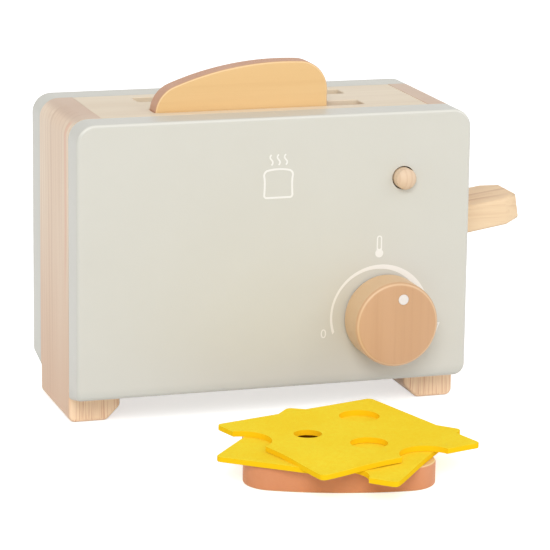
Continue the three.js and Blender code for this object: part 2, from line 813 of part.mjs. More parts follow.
function pushButton() {
  const collarFront = coreFront - boreDepth + collarClearance;
  const collarBack = collarFront + collarThickness;
  const tailEnd = latchFace(buttonZ - tailTipRadius) - collarClearance / 2;
  const sphere = (buttonRadius ** 2 + buttonDome ** 2) / (2 * buttonDome);
  const dome = Array.from({ length: cornerSegments + 1 }, (_, step) => {
    const angle = (Math.asin(buttonRadius / sphere) * step) / cornerSegments;
    return [sphere * Math.sin(angle), sphere * (1 - Math.cos(angle)) - buttonReach];
  });
  const body = turned(
    [
      ...dome,
      [buttonRadius, collarBack],
      [tailRadius, collarBack],
      [tailRadius, tailEnd - tailTaper],
      [tailTipRadius, tailEnd],
      [0, tailEnd],
    ],
    buttonX,
    buttonZ,
    fineSegments,
  );
  piece("button", body, leverWood);
  const collar = ring(collarRadius, buttonRadius + glueGap, collarFront, collarBack, buttonX, buttonZ);
  piece("button_collar", collar, steel);

  const springFrom = collarBack + buttonTravel + buttonSpringGap + buttonSpringWire;
  const springTo = coreFront - buttonSpringGap - buttonSpringWire;
  const coil = coilPoints((tailRadius + boreRadius) / 2, buttonSpringTurns, springFrom, springTo);
  console.log("button spring: least gap between turns", leastGap(coil, buttonSpringWire).toFixed(2), "mm");
  const spring = wire(coil, buttonSpringWire).rotateX(-Math.PI / 2).translate(buttonX, 0, buttonZ);
  piece("button_spring", spring, steel);

  const outline = new THREE.Shape(roundedOutline(plateWidth, plateHeight, plateCornerRadius));
  const plate = standingBoard(outline, plateThickness, 0, coreFront).translate(buttonX, 0, buttonZ);
  const tailHole = rodAlongY(tailRadius + tailGap, coreFront - overrun, plateBack + overrun, buttonX, buttonZ);
  const screwHoles = plateScrewHeights.map((z) => smallScrewHole(buttonX, plateBack, z));
  piece("button_plate", cut(plate, [tailHole, ...screwHoles]), steel);
  piece("plate_screw_lower", panScrew(buttonX, plateBack, plateScrewHeights[0]), steel);
  piece("plate_screw_upper", panScrew(buttonX, plateBack, plateScrewHeights[1]), steel);
}

// Latch: a steel strip on a pin, its nose beside the lever's edge and its upper end behind the button
function latch() {
  const across = latchWidth / 2;
  const rear = latchOffset + latchThickness;
  const hole = latchPinRadius + latchPinClearance;
  const blank = join([
    block([-across, latchOffset, -latchBelow], [across, rear, latchAbove]),
    block([-across, latchOffset, -latchBelow], [across, rear + latchNose, latchNoseHeight - latchBelow]),
    rodAlongX(latchBossRadius, -across, across, 0, 0),
  ]);
  const strip = cut(blank, [rodAlongX(hole, -across - overrun, across + overrun, 0, 0)]);
  const mesh = piece("latch", strip, steel);
  mesh.position.set(buttonX, latchPivotY, latchPivotZ);
  mesh.rotation.x = -latchAngle;

  const inner = across + earGap;
  const outer = inner + earWidth;
  const bridge = latchPivotZ + bridgeRise;
  const top = bridge + bridgeHeight;
  const ears = [-outer, inner].map((from) =>
    block(
      [buttonX + from, coreFront, latchPivotZ - earBelow],
      [buttonX + from + earWidth, coreFront + earDepth, top],
    ),
  );
  const web = block([buttonX - outer, coreFront, bridge], [buttonX + outer, coreFront + bridgeDepth, top]);
  const bore = rodAlongX(hole, buttonX - outer - overrun, buttonX + outer + overrun, latchPivotY, latchPivotZ);
  piece("latch_block", cut(join([...ears, web]), [bore]), boardWood);
  const half = outer - latchPinInset;
  piece("latch_pin", rodAlongX(latchPinRadius, buttonX - half, buttonX + half, latchPivotY, latchPivotZ), steel);
}

function looseSlice() {
  const slice = piece("loose_slice", board(toastShape(), toastThickness, toastEdge), toastWood);
  slice.position.set(looseSliceX, looseSliceY, 0);
  slice.rotation.z = THREE.MathUtils.degToRad(looseSliceTurn);
}

function cheese(name, holeShares, x, y, z, turn) {
  const shape = new THREE.Shape(roundedOutline(cheeseSide, cheeseSide, cheeseCornerRadius));
  const holes = holeShares.map(([across, along, diameter]) => {
    const radius = (cheeseSide * diameter) / 2;
    return rodAlongZ(
      radius,
      -overrun,
      cheeseThickness + overrun,
      cheeseSide * across,
      cheeseSide * along,
      fineSegments,
    );
  });
  const mesh = piece(name, cut(board(shape, cheeseThickness, 0), holes), felt);
  mesh.position.set(x, y, z);
  mesh.rotation.z = THREE.MathUtils.degToRad(turn);
}

frontPanel();
backPanel();
posts();
dowels();
boards();
leverArm();
toastRests();
pivot();
returnSpring();
toastSlice();
knob();
pushButton();
latch();
looseSlice();
const lowerCheeseZ = toastThickness + layGap;
const upperCheeseZ = lowerCheeseZ + cheeseThickness + layGap;
cheese("cheese_lower", lowerHoleShares, lowerCheeseX, lowerCheeseY, lowerCheeseZ, lowerCheeseTurn);
cheese("cheese_upper", upperHoleShares, upperCheeseX, upperCheeseY, upperCheeseZ, upperCheeseTurn);

// The origin is on the floor, under the middle of everything
const box = new THREE.Box3().setFromObject(toaster, true);
const centre = box.getCenter(new THREE.Vector3());
toaster.position.set(-centre.x, -centre.y, -box.min.z);

const group = new THREE.Group();
group.add(toaster);

export default group;
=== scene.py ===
"""A wooden toy toaster with a rocking lever, a push button and a turning dial. In front of it lies
a loose slice of toast with two slices of felt cheese. Metres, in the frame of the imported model."""

import math

import bpy
from mathutils import Matrix, Vector, noise


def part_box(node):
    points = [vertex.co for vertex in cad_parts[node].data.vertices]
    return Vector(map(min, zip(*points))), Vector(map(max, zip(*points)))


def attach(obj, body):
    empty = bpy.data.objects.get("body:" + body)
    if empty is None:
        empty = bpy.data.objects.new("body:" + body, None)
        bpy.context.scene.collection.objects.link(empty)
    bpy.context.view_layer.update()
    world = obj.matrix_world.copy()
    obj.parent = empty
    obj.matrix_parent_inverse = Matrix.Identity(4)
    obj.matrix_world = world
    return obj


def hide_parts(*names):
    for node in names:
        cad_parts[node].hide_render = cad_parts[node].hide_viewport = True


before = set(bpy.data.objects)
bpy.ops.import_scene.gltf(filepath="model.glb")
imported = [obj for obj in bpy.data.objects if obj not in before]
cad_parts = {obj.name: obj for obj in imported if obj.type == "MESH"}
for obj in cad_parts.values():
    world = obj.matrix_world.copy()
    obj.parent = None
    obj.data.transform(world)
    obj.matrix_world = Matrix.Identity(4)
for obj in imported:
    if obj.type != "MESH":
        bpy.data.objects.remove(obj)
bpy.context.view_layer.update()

MM = 0.001

# Places are measured from the middle of the case, the front of its painted panel and the floor
panel_low, panel_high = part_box("front_panel")
CASE_X = (panel_low.x + panel_high.x) / 2
FACE_Y = panel_low.y

# Places closer than this count as one, in metres: in tests, at seams, and where felt was cut
NEAR = 1e-5
SEAM = 1e-6
FELT_SEAM = 2e-5

# Case; all sizes from here to the finishes are in millimetres
CASE_WIDTH = 230
CASE_DEPTH = 108
CASE_TOP = 173.5
PANEL_DEPTH = 20
PANEL_CORNER = 11
PANEL_LOWER_LEFT = 2.5
PANEL_LOWER_RIGHT = 6.5
BACK_LOWER_LEFT = 5
PANEL_SLOPE = 4.5
PANEL_EDGE = 2
PANEL_BACK_EDGE = 0.8
POST_WIDTH = 30
POST_SHOULDER = 19
FOOT_TOP = 18
FOOT_CHAMFER = 8
FOOT_RADIUS = 4
FOOT_EDGE = 2
BOARD_THICKNESS = 18
BOARD_EDGE = 0.8
SLOT_LENGTH = 124
SLOT_SHIFT = -1
SLOT_WIDTH = 15
SLOT_CORNER = 2.5
SLOT_SPACING = 36
CORE_MIDDLE = CASE_DEPTH / 2
HALF_WIDTH = CASE_WIDTH / 2
INNER_HALF = HALF_WIDTH - POST_WIDTH
CASE_MIDDLE = CASE_TOP / 2

# Holes: radii, and depths from a panel's outer face; a cutter runs past the wood at an open end
CUT_PAST = 2
BUTTON_BORE = 6.65
BUTTON_BORE_DEPTH = 9
BUTTON_BORE_EDGE = 0.35
COLLAR_BORE = 8.6
AXLE_BORE = 4.3
PIN_BORE = 3.05
PIN_COVER = 11.7
SCREW_BORE = 2.1
SCREW_HEAD_BORE = 4.1
SCREW_HEAD_DEPTH = 2.6

# Slices of toast
TOAST_HEIGHT = 98
TOAST_FOOT = 100
TOAST_FOOT_RADIUS = 9
TOAST_WAIST = 93.6
TOAST_WAIST_RISE = 56
TOAST_LOBE = 17
TOAST_LOBE_SPREAD = 34
TOAST_DOME = 175
TOAST_THICKNESS = 13
TOAST_EDGE = 1.2
LOOSE_PLACE = (17.5, -50.1)
LOOSE_TURN = math.radians(164.3)

# Rocking lever, with the place of the standing slice on it, and the window that the lever leaves by
LEVER_TILT = math.radians(9)
LEVER_PRESSED = math.radians(-1)
LEVER_THICKNESS = 16
LEVER_EDGE = 2
HANDLE_WIDTH = 41
HANDLE_REACH = 239
HANDLE_CHAMFER = (10, 8)
ARM_WIDTH = 53
ARM_REACH = 156
ARM_HEEL = 8
ARM_CORNER = 3
NECK_RADIUS = 2.5
PIVOT_X, PIVOT_Z = -75, 69.1
PIVOT_HOLE = 3.1
TOAST_PLACE = (79.1, -SLOT_SPACING / 2, 19.6)
WINDOW_SIDE_GAP = 1.5
WINDOW_END_GAP = 0.3
WINDOW_CORNER = 3
WINDOW_EDGE = 0.6
WINDOW_MARGIN = 0.5

# Dial and its dot
KNOB_X, KNOB_Z = 65.1, 55.8
KNOB_RADIUS = 24.5
KNOB_BACK, KNOB_FACE = -1, -22
KNOB_FACE_EDGE = 2.4
KNOB_BACK_EDGE = 0.8
DOT_X, DOT_Z = 68.4, 70.23
DOT_RADIUS = 3
DOT_EDGE = 0.3
DOT_PROUD = 0.2
DOT_DEPTH = 1
DOT_HOLE_DEPTH = 1.05
DOT_GAP = 0.08

# Button and its stem
BUTTON_X, BUTTON_Z = 74.8, 135.6
BUTTON_RADIUS = 6
BUTTON_DOME = 7.5
BUTTON_TIP = -7.5
BUTTON_SHOULDER = 11.3
STEM_RADIUS = 4
STEM_END_RADIUS = 1.5
STEM_TAPER = 2.5

# Felt cheese
CHEESE_SIDE = 102
CHEESE_THICKNESS = 3
CHEESE_CORNER = 3
CHEESE_EDGE = 0.35
CHEESE_LINES = 16
CHEESE_LINE_SPACING = 3.05
CHEESE_RIPPLE = 0.12
CHEESE_RIPPLES_PER_METRE = 38


def spot(x, y, z):
    """A place in the frame, from millimetres right of the middle, behind the panel and up."""
    return Vector((CASE_X + x * MM, FACE_Y + y * MM, z * MM))


# Shaping

# Edges of the panels and posts flatter than this, in degrees, are shaded smooth
CASE_SMOOTH = 40

# Sides of the bores for the button, the axle and the pivot pin
BORE_SIDES = 64

# Sides of the bores for the screws, and of the dial's dot and its hole
SMALL_SIDES = 48


def deselect():
    if bpy.context.object and bpy.context.object.mode != "OBJECT":
        bpy.ops.object.mode_set(mode="OBJECT")
    bpy.ops.object.select_all(action="DESELECT")


def take(piece):
    deselect()
    piece.select_set(True)
    bpy.context.view_layer.objects.active = piece


def open_whole(piece, kind):
    """Opens the piece in edit mode with all of it selected."""
    take(piece)
    bpy.ops.object.mode_set(mode="EDIT")
    bpy.ops.mesh.select_mode(type=kind)
    bpy.ops.mesh.select_all(action="SELECT")


def add_object(name, data):
    added = bpy.data.objects.new(name, data)
    bpy.context.scene.collection.objects.link(added)
    return added


def fix_place(piece, matrix=None):
    """Puts the piece's place into its mesh."""
    take(piece)
    if matrix is not None:
        piece.matrix_world = matrix
    bpy.ops.object.transform_apply(location=True, rotation=True, scale=True)


def named(name):
    piece = bpy.context.object
    piece.name = name
    piece.data.name = name
    return piece


def block(name, low, high):
    deselect()
    bpy.ops.mesh.primitive_cube_add(size=1, location=(low + high) / 2, scale=high - low)
    piece = named(name)
    fix_place(piece)
    return piece


def mark_edges(piece, test):
    """Selects the edges whose two ends pass a test, and leaves the piece in edit mode."""
    take(piece)
    bpy.ops.object.mode_set(mode="EDIT")
    bpy.ops.mesh.select_mode(type="EDGE")
    bpy.ops.mesh.select_all(action="DESELECT")
    bpy.ops.object.mode_set(mode="OBJECT")
    mesh = piece.data
    for edge in mesh.edges:
        edge.select = test(*(mesh.vertices[end].co for end in edge.vertices))
    bpy.ops.object.mode_set(mode="EDIT")


def round_edges(piece, test, width, steps):
    mark_edges(piece, test)
    bpy.ops.mesh.bevel(offset=width * MM, segments=steps, profile=0.5, affect="EDGES")
    bpy.ops.object.mode_set(mode="OBJECT")


def at_depth(y):
    """A test for the edges that lie at one depth of the case."""
    depth = spot(0, y, 0).y
    return lambda a, b: abs(a.y - depth) < NEAR and abs(b.y - depth) < NEAR


def at_corner(side, up):
    """A test for a panel's edges from front to back at one corner, seen from the front."""

    def test(a, b):
        beside = (a.x - CASE_X) * side > 0 and (a.z - CASE_MIDDLE * MM) * up > 0
        return abs(a.y - b.y) > PANEL_DEPTH / 4 * MM and beside

    return test


def finish_shell(piece, angle=48):
    """Closes seams, turns the faces outwards and shades edges flatter than the angle smooth."""
    take(piece)
    bpy.ops.mesh.customdata_custom_splitnormals_clear()
    open_whole(piece, "VERT")
    bpy.ops.mesh.remove_doubles(threshold=SEAM)
    bpy.ops.mesh.normals_make_consistent(inside=False)
    bpy.ops.object.mode_set(mode="OBJECT")
    bpy.ops.object.shade_smooth_by_angle(angle=math.radians(angle))
    even = piece.modifiers.new("even", "WEIGHTED_NORMAL")
    even.keep_sharp = True
    bpy.ops.object.modifier_apply(modifier=even.name)


def combine(piece, other, operation="DIFFERENCE"):
    """Cuts the other piece out of this one, or joins it to this one, and uses it up."""
    take(piece)
    joint = piece.modifiers.new("joint", "BOOLEAN")
    joint.operation = operation
    joint.solver = "EXACT"
    joint.object = other
    bpy.ops.object.modifier_apply(modifier=joint.name)
    bpy.data.objects.remove(other, do_unlink=True)


def arc(x, y, radius, start, end, steps=10):
    """Points on an arc, its angles in degrees, or rings of a turned piece's rounded edge."""
    turns = [math.radians(start + (end - start) * step / steps) for step in range(steps + 1)]
    return [(x + radius * math.cos(turn), y + radius * math.sin(turn)) for turn in turns]


def rounded_rectangle(width, height, radius, x=0, y=0):
    across, up = width / 2 - radius, height / 2 - radius
    corners = [(across, up, 0), (-across, up, 90), (-across, -up, 180), (across, -up, 270)]
    return [
        point
        for side, rise, start in corners
        for point in arc(x + side, y + rise, radius, start, start + 90, steps=8)
    ]


def board(name, outlines, thickness, edge, matrix=None, steps=4):
    """A board cut to outlines in millimetres, with rounded rims, its middle at height zero."""
    curve = bpy.data.curves.new(name, "CURVE")
    curve.dimensions = "2D"
    curve.fill_mode = "BOTH"
    for outline in outlines:
        spline = curve.splines.new("POLY")
        spline.points.add(len(outline) - 1)
        for point, (x, y) in zip(spline.points, outline):
            point.co = (x * MM, y * MM, 0, 1)
        spline.use_cyclic_u = True
    curve.offset = -edge * MM
    curve.bevel_depth = edge * MM
    curve.bevel_resolution = steps - 1
    curve.extrude = (thickness / 2 - edge) * MM
    take(add_object(name, curve))
    bpy.ops.object.convert(target="MESH")
    piece = named(name)
    fix_place(piece, matrix)
    finish_shell(piece)
    return piece


def square_board(name, outlines, thickness, matrix):
    """A board with sharp rims."""
    return board(name, outlines, thickness, 0, matrix, steps=1)


STANDING = Matrix.Rotation(math.pi / 2, 4, "X")


def standing(x, y, z):
    """Stands a flat board up, its outline seen from the front."""
    return Matrix.Translation(spot(x, y, z)) @ STANDING


def turned(name, x, z, rings, sides):
    """A turned piece round a line from front to back, from rings of radius and depth."""
    deselect()
    radius, depth = rings[0]
    bpy.ops.mesh.primitive_circle_add(
        vertices=sides,
        radius=radius * MM,
        fill_type="NGON",
        location=spot(x, depth, z),
        rotation=(math.pi / 2, 0, 0),
    )
    piece = named(name)
    open_whole(piece, "FACE")
    for next_radius, next_depth in rings[1:]:
        step = (0, (next_depth - depth) * MM, 0)
        bpy.ops.mesh.extrude_region_move(TRANSFORM_OT_translate={"value": step})
        ratio = next_radius / radius
        centre = spot(x, next_depth, z)
        bpy.ops.transform.resize(value=(ratio, 1, ratio), center_override=centre)
        radius, depth = next_radius, next_depth
    bpy.ops.object.mode_set(mode="OBJECT")
    fix_place(piece)
    finish_shell(piece)
    return piece


def bore(radius, start, end):
    """Rings of a straight hole."""
    return [(radius, start), (radius, end)]


def drill(piece, x, z, rings, sides):
    combine(piece, turned("hole", x, z, rings, sides))


def dress(piece, body, slot, finish, *nodes):
    """Gives a piece its finish, the body it moves with and the nodes it stands for. The slot is not
    used.
    """
    piece.data.materials.clear()
    piece.data.materials.append(finish)
    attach(piece, body)
    if nodes:
        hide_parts(*nodes)


# Finishes


def tint(red, green, blue):
    """A colour from its screen values, 0 to 255."""
    shares = [value / 255 for value in (red, green, blue)]
    return (*((s / 12.92 if s <= 0.04045 else ((s + 0.055) / 1.055) ** 2.4) for s in shares), 1)


class Signal:
    """A number, colour or vector on its way through a finish, so that sums are written as sums."""

    def __init__(self, finish, socket):
        self.finish = finish
        self.socket = socket

    def maths(self, operation, first, second):
        vector = "VECTOR" in (getattr(s, "socket", self.socket).type for s in (first, second))
        kind = "ShaderNodeVectorMath" if vector else "ShaderNodeMath"
        return self.finish.node(kind, {"operation": operation}, {0: first, 1: second})

    def __add__(self, other):
        return self.maths("ADD", self, other)

    def __radd__(self, other):
        return self.maths("ADD", other, self)

    def __sub__(self, other):
        return self.maths("SUBTRACT", self, other)

    def __rsub__(self, other):
        return self.maths("SUBTRACT", other, self)

    def __mul__(self, other):
        return self.maths("MULTIPLY", self, other)

    def __rmul__(self, other):
        return self.maths("MULTIPLY", other, self)

    def __truediv__(self, other):
        return self.maths("DIVIDE", self, other)

    def __rtruediv__(self, other):
        return self.maths("DIVIDE", other, self)


class Finish:
    """A procedural material: its nodes are added by one method and its sums by Signal."""

    def __init__(self, name, **constants):
        self.material = bpy.data.materials.new(name)
        self.material.use_nodes = True
        self.tree = self.material.node_tree
        self.tree.nodes.clear()
        self.surface = self.tree.nodes.new("ShaderNodeBsdfPrincipled")
        output = self.tree.nodes.new("ShaderNodeOutputMaterial")
        self.tree.links.new(self.surface.outputs[0], output.inputs[0])
        self.done(**constants)
        self.place = self.node("ShaderNodeTexCoord", output="Object")

    def node(self, kind, settings=None, inputs=None, output=0):
        made = self.tree.nodes.new(kind)
        for name, value in (settings or {}).items():
            setattr(made, name, value)
        for key, value in (inputs or {}).items():
            self.feed(made.inputs[key], value)
        return Signal(self, made.outputs[output])

    def feed(self, socket, value):
        if isinstance(value, Signal):
            self.tree.links.new(value.socket, socket)
        elif socket.type == "VECTOR" and isinstance(value, (int, float)):
            socket.default_value = (value, value, value)
        else:
            socket.default_value = value

    def mapped(self, location, turn):
        """Object coordinates moved so that a place is the pattern's middle, then turned."""
        moved = self.place - tuple(location)
        turns = tuple(math.radians(angle) for angle in turn)
        return self.node("ShaderNodeMapping", {}, {"Vector": moved, "Rotation": turns})

    def noise(self, vector, scale, detail=2, rough=0.5, distortion=0):
        inputs = {
            "Vector": vector,
            "Scale": scale,
            "Detail": detail,
            "Roughness": rough,
            "Distortion": distortion,
        }
        return self.node("ShaderNodeTexNoise", {}, inputs)

    def rise(self, value, low, high):
        """0 below one value and 1 above another, smooth between them."""
        inputs = {"Value": value, "From Min": low, "From Max": high}
        return self.node("ShaderNodeMapRange", {"interpolation_type": "SMOOTHSTEP"}, inputs)

    def blend(self, share, first, second):
        return self.node("ShaderNodeMix", {"data_type": "RGBA"}, {0: share, 6: first, 7: second}, 2)

    def part(self, vector, axis):
        return self.node("ShaderNodeSeparateXYZ", {}, {0: vector}, axis)

    def facing(self, axis):
        """How squarely the surface faces along an axis, from -1 to 1."""
        return self.part(self.node("ShaderNodeTexCoord", output="Normal"), axis)

    def single(self, operation, value):
        """A sum on one number, such as its root."""
        return self.node("ShaderNodeMath", {"operation": operation}, {0: value})

    def flat(self, axis):
        """1 on a face square to an axis, 0 on a face along it."""
        return self.single("ABSOLUTE", self.facing(axis))

    def bump(self, height, distance, strength):
        inputs = {"Height": height, "Distance": distance, "Strength": strength}
        return self.node("ShaderNodeBump", {}, inputs)

    def done(self, **sockets):
        for name, value in sockets.items():
            self.feed(self.surface.inputs[name.replace("_", " ")], value)
        return self.material


# Heights and distances between which marks, painted shade and painted light fade, in metres
LOW_SHADE_FADE = (FOOT_TOP * MM, 0.0245)
STRIPE_FADE = (0.001, 0.004)
STRIPE_LOW_END = (0.05, 0.12)
WARM_END_FADE = (0, 0.14)
FOOT_FADE = (0.016, 0.024)

# Millimetres behind the panel's face
STRIPE_DEPTH = 26


def satin_paint(name, colour, wear_and_highlight, roughness, painted_low_shade=None):
    """Satin paint, a little uneven in tone, with the fine dimples of a sprayed coat.

    A panel's paint has painted shade on its low edge and a pale painted highlight on its rounded
    upper edge.
    """
    paint = Finish(name, Coat_Weight=0.12, Coat_Roughness=0.28)
    cloud = paint.noise(paint.place, 14, 4, 0.6)
    dimples = paint.noise(paint.place, 900, 2, 0.5)
    grit = paint.noise(paint.place, 2600, 2, 0.6)
    fleck = paint.rise(paint.noise(paint.place, 420, 3, 0.7), 0.66, 0.8)
    tone = paint.blend(cloud, colour, wear_and_highlight)
    tone = paint.blend(fleck * 0.25, tone, wear_and_highlight)
    if painted_low_shade:
        # Painted shade: the paint darkens along the panel's low edge
        low = 1 - paint.rise(paint.part(paint.place, 2), *LOW_SHADE_FADE)
        tone = paint.blend(low * 0.5, tone, painted_low_shade)
        # Painted highlight: a pale line along the rounded upper front edge
        forwards = 0 - paint.facing(1)
        painted_highlight = paint.rise(forwards, 0.3, 0.55) * (1 - paint.rise(forwards, 0.88, 0.98))
        painted_highlight = painted_highlight * paint.rise(paint.facing(2), 0.2, 0.5)
        tone = paint.blend(painted_highlight * 0.4, tone, tint(242, 240, 230))
    return paint.done(
        Base_Color=tone,
        Roughness=roughness + cloud * 0.08 + dimples * 0.05,
        Normal=paint.bump(dimples + grit * 0.4, 0.00006, 0.5),
    )


def wood(name, pale, warm, dark, turn, middle, pith, ring, lines, roughness=0.5, extra=None):
    """Sanded wood, its grain along the pattern's z, with fibres and a slow drift of tone.

    Growth rings lie round a pith that is so far, in metres, from the middle. Their spacing is
    ring, in metres too, and their strength is lines.
    """
    timber = Finish(name, Coat_Weight=0.08, Coat_Roughness=0.35)
    place = timber.mapped(middle, turn)
    sway = timber.noise(place * (9, 9, 2.2), 1, 3, 0.5) - 0.5
    across = timber.part(place, 0) + pith[0] + sway * 0.022
    wander = timber.noise(place * (7, 7, 3), 1, 2) - 0.5
    depth = timber.part(place, 1) + pith[1] + wander * 0.012
    radius = timber.single("SQRT", across * across + depth * depth)
    spread = timber.noise(place * (70, 70, 2.5), 1, 2, 0.6) - 0.5
    year = timber.single("FRACT", radius / ring + spread * 1.5)
    late = timber.rise(year, 0.45, 0.93) * (1 - timber.rise(year, 0.94, 1.0))
    strength = timber.rise(timber.noise(place * (55, 55, 3), 1, 2), 0.38, 0.72)
    fibre = timber.noise(place * (1500, 1500, 34), 1, 3, 0.65)
    streak = timber.noise(place * (260, 260, 6), 1, 3, 0.6)
    drift = timber.noise(place * (26, 26, 4), 1, 2, 0.5)
    tone = timber.blend(timber.rise(drift, 0.3, 0.72), pale, warm)
    tone = timber.blend(late * (0.1 + strength * 0.9) * lines, tone, dark)
    tone = timber.blend(timber.rise(streak, 0.52, 0.82) * (0.12 + 0.3 * lines), tone, dark)
    tone = timber.blend(timber.rise(fibre, 0.5, 0.8) * (0.08 + 0.25 * lines), tone, dark)
    if extra:
        tone = extra(timber, tone)
    return timber.done(
        Base_Color=tone,
        Roughness=roughness + fibre * 0.1 - late * 0.05,
        Normal=timber.bump(fibre * 0.6 + late * (0.5 * lines) + streak * 0.3, 0.00007, 0.5),
    )


def toast_stain_and_highlight(axis, brown, light_brown):
    """Brown stain on the rim of a slice whose flat faces look along an axis.

    A pale line, a painted highlight, runs along the rim's rounded edges.
    """

    def stained(timber, tone):
        flat = timber.flat(axis)
        rim = 1 - timber.rise(flat, 0.35, 0.75)
        # Painted highlight: a pale band on the rounded edges of the rim
        wear_and_highlight = timber.rise(flat, 0.55, 0.8) * (1 - timber.rise(flat, 0.93, 0.995))
        smear = timber.noise(timber.place, 60, 4, 0.7)
        tone = timber.blend(rim, tone, timber.blend(smear, brown, light_brown))
        return timber.blend(wear_and_highlight * 0.35, tone, tint(255, 226, 184))

    return stained


def knob_painted_light(timber, tone):
    """Painted light: a paler side, and a fine pale highlight band on the rounded turned edge."""
    flat = timber.flat(1)
    # Painted light: the side is paler than the face
    side = 1 - timber.rise(flat, 0.05, 0.6)
    # Painted highlight: a pale band on the rounded edge
    highlight_band = timber.rise(flat, 0.6, 0.8) * (1 - timber.rise(flat, 0.9, 0.99))
    tone = timber.blend(side * 0.55, tone, tint(236, 204, 158))
    return timber.blend(highlight_band * 0.45, tone, tint(246, 214, 172))


def post_marks_and_painted_light(timber, tone):
    """A stripe of heartwood near the front panel, darker end grain, and a warmer lower end.

    Below the panels the fronts of the feet are paler again, which is painted light, with streaks.
    """
    upwards = timber.rise(timber.facing(2), 0.6, 0.95)
    forwards = 1 - timber.rise(timber.facing(1), -0.9, -0.4)
    depth = timber.part(timber.place, 1) - spot(0, STRIPE_DEPTH, 0).y
    sway = (timber.noise(timber.place * (3, 3, 7), 1, 2) - 0.5) * 0.012
    stripe = 1 - timber.rise(timber.single("ABSOLUTE", depth + sway), *STRIPE_FADE)
    height = timber.part(timber.place, 2)
    stripe = stripe * timber.rise(height, *STRIPE_LOW_END) * (1 - upwards)
    tone = timber.blend(stripe * 0.4, tone, tint(228, 160, 124))
    low = 1 - timber.rise(height, *WARM_END_FADE)
    tone = timber.blend(low * 0.65, tone, tint(216, 174, 140))
    tone = timber.blend(upwards * 0.6, tone, tint(196, 168, 148))
    # Painted light: the fronts of the feet are paler, though the panels above leave them in shade
    foot = (1 - timber.rise(height, *FOOT_FADE)) * forwards
    streak = timber.rise(timber.noise(timber.place * (860, 860, 20), 1, 3, 0.65), 0.48, 0.66)
    tone = timber.blend(foot, tone, tint(255, 222, 186))
    return timber.blend(foot * streak * 0.6, tone, tint(204, 136, 90))


def felt(name, colour, shade, cut):
    """Pressed felt: matted fibres, soft hollows, and a deeper colour on the cut edge, which is
    painted light.
    """
    cloth = Finish(name, Specular_IOR_Level=0.06)
    matted = cloth.noise(cloth.place, 420, 5, 0.7, 0.6)
    hair = cloth.noise(cloth.place * (1, 3.5, 1), 650, 4, 0.7, 1.2)
    cross = cloth.noise(cloth.place * (3.2, 1, 1), 600, 4, 0.7, 1.2)
    cloud = cloth.noise(cloth.place, 34, 3, 0.5)
    tuft = cloth.rise(matted * 0.5 + hair * 0.25 + cross * 0.25, 0.36, 0.62)
    flat = cloth.rise(cloth.flat(2), 0.25, 0.75)
    tone = cloth.blend((1 - tuft) * 0.75, colour, shade)
    tone = cloth.blend(cloth.rise(cloud, 0.35, 0.7) * 0.4, tone, shade)
    # Painted light: the cut edges take a deeper colour
    tone = cloth.blend(1 - flat, tone, cut)
    height = (matted * 0.7 + hair * 0.5 + cross * 0.5) * (0.12 + flat * 0.88)
    return cloth.done(
        Base_Color=tone,
        Roughness=0.9 + tuft * 0.08,
        Normal=cloth.bump(height, 0.0004, 0.6),
    )


def drawn_steel(name):
    steel = Finish(name, Metallic=1.0)
    brushed = steel.noise(steel.place * (1, 1, 14), 300, 3, 0.6)
    smear = steel.noise(steel.place, 90, 3, 0.6)
    return steel.done(
        Base_Color=steel.blend(smear, tint(188, 191, 195), tint(208, 211, 214)),
        Roughness=0.24 + brushed * 0.14 + smear * 0.08,
        Normal=steel.bump(brushed, 0.00003, 0.5),
    )


# Turns of the grain in degrees; the loose slice's grain is turned with the slice
GRAIN_UP = (0, 0, 0)
GRAIN_ALONG = (0, 90, 0)
GRAIN_LOOSE = (0, 90, 15.7)

case_middle = spot(0, CORE_MIDDLE, CASE_MIDDLE)


def slice_wood(name, turn, axis, brown, light_brown):
    return wood(
        name,
        tint(236, 200, 145),
        tint(230, 190, 131),
        tint(208, 158, 100),
        turn,
        case_middle,
        pith=(0.2, 0.05),
        ring=0.008,
        lines=0.1,
        extra=toast_stain_and_highlight(axis, brown, light_brown),
    )


finishes = {
    "panel_paint": satin_paint(
        "panel_paint_satin",
        tint(212, 211, 202),
        tint(206, 204, 194),
        0.36,
        # Painted shade for the panels' low edge
        tint(184, 185, 177),
    ),
    "white_paint": satin_paint(
        "white_paint_satin", tint(234, 230, 228), tint(228, 223, 221), 0.34
    ),
    "post_wood": wood(
        "post_wood_sanded",
        tint(243, 223, 199),
        tint(234, 207, 181),
        tint(196, 156, 122),
        GRAIN_UP,
        case_middle,
        pith=(0.05, 0.18),
        ring=0.006,
        lines=0.45,
        extra=post_marks_and_painted_light,
    ),
    "board_wood": wood(
        "board_wood_sanded",
        tint(236, 221, 197),
        tint(228, 210, 184),
        tint(204, 180, 150),
        GRAIN_ALONG,
        case_middle,
        pith=(0.05, 0.2),
        ring=0.009,
        lines=0.22,
    ),
    "lever_wood": wood(
        "lever_wood_sanded",
        tint(241, 214, 177),
        tint(233, 201, 161),
        tint(200, 154, 108),
        GRAIN_ALONG,
        case_middle,
        pith=(0.1, 0.09),
        ring=0.0075,
        lines=0.8,
    ),
    "knob_wood": wood(
        "knob_wood_turned",
        tint(213, 171, 133),
        tint(204, 161, 122),
        tint(176, 128, 90),
        GRAIN_UP,
        spot(KNOB_X, 0, KNOB_Z),
        pith=(0.12, 0.05),
        ring=0.0045,
        lines=0.14,
        roughness=0.42,
        extra=knob_painted_light,
    ),
    "toast_wood": slice_wood(
        "toast_wood_standing", GRAIN_ALONG, 1, tint(196, 146, 114), tint(210, 162, 132)
    ),
    "steel": drawn_steel("steel_drawn"),
    "grey_felt": felt(
        "grey_felt_pressed", tint(142, 142, 138), tint(118, 118, 114), tint(110, 110, 106)
    ),
    "yellow_felt": felt(
        "yellow_felt_pressed", tint(255, 229, 62), tint(252, 211, 34), tint(252, 204, 22)
    ),
}
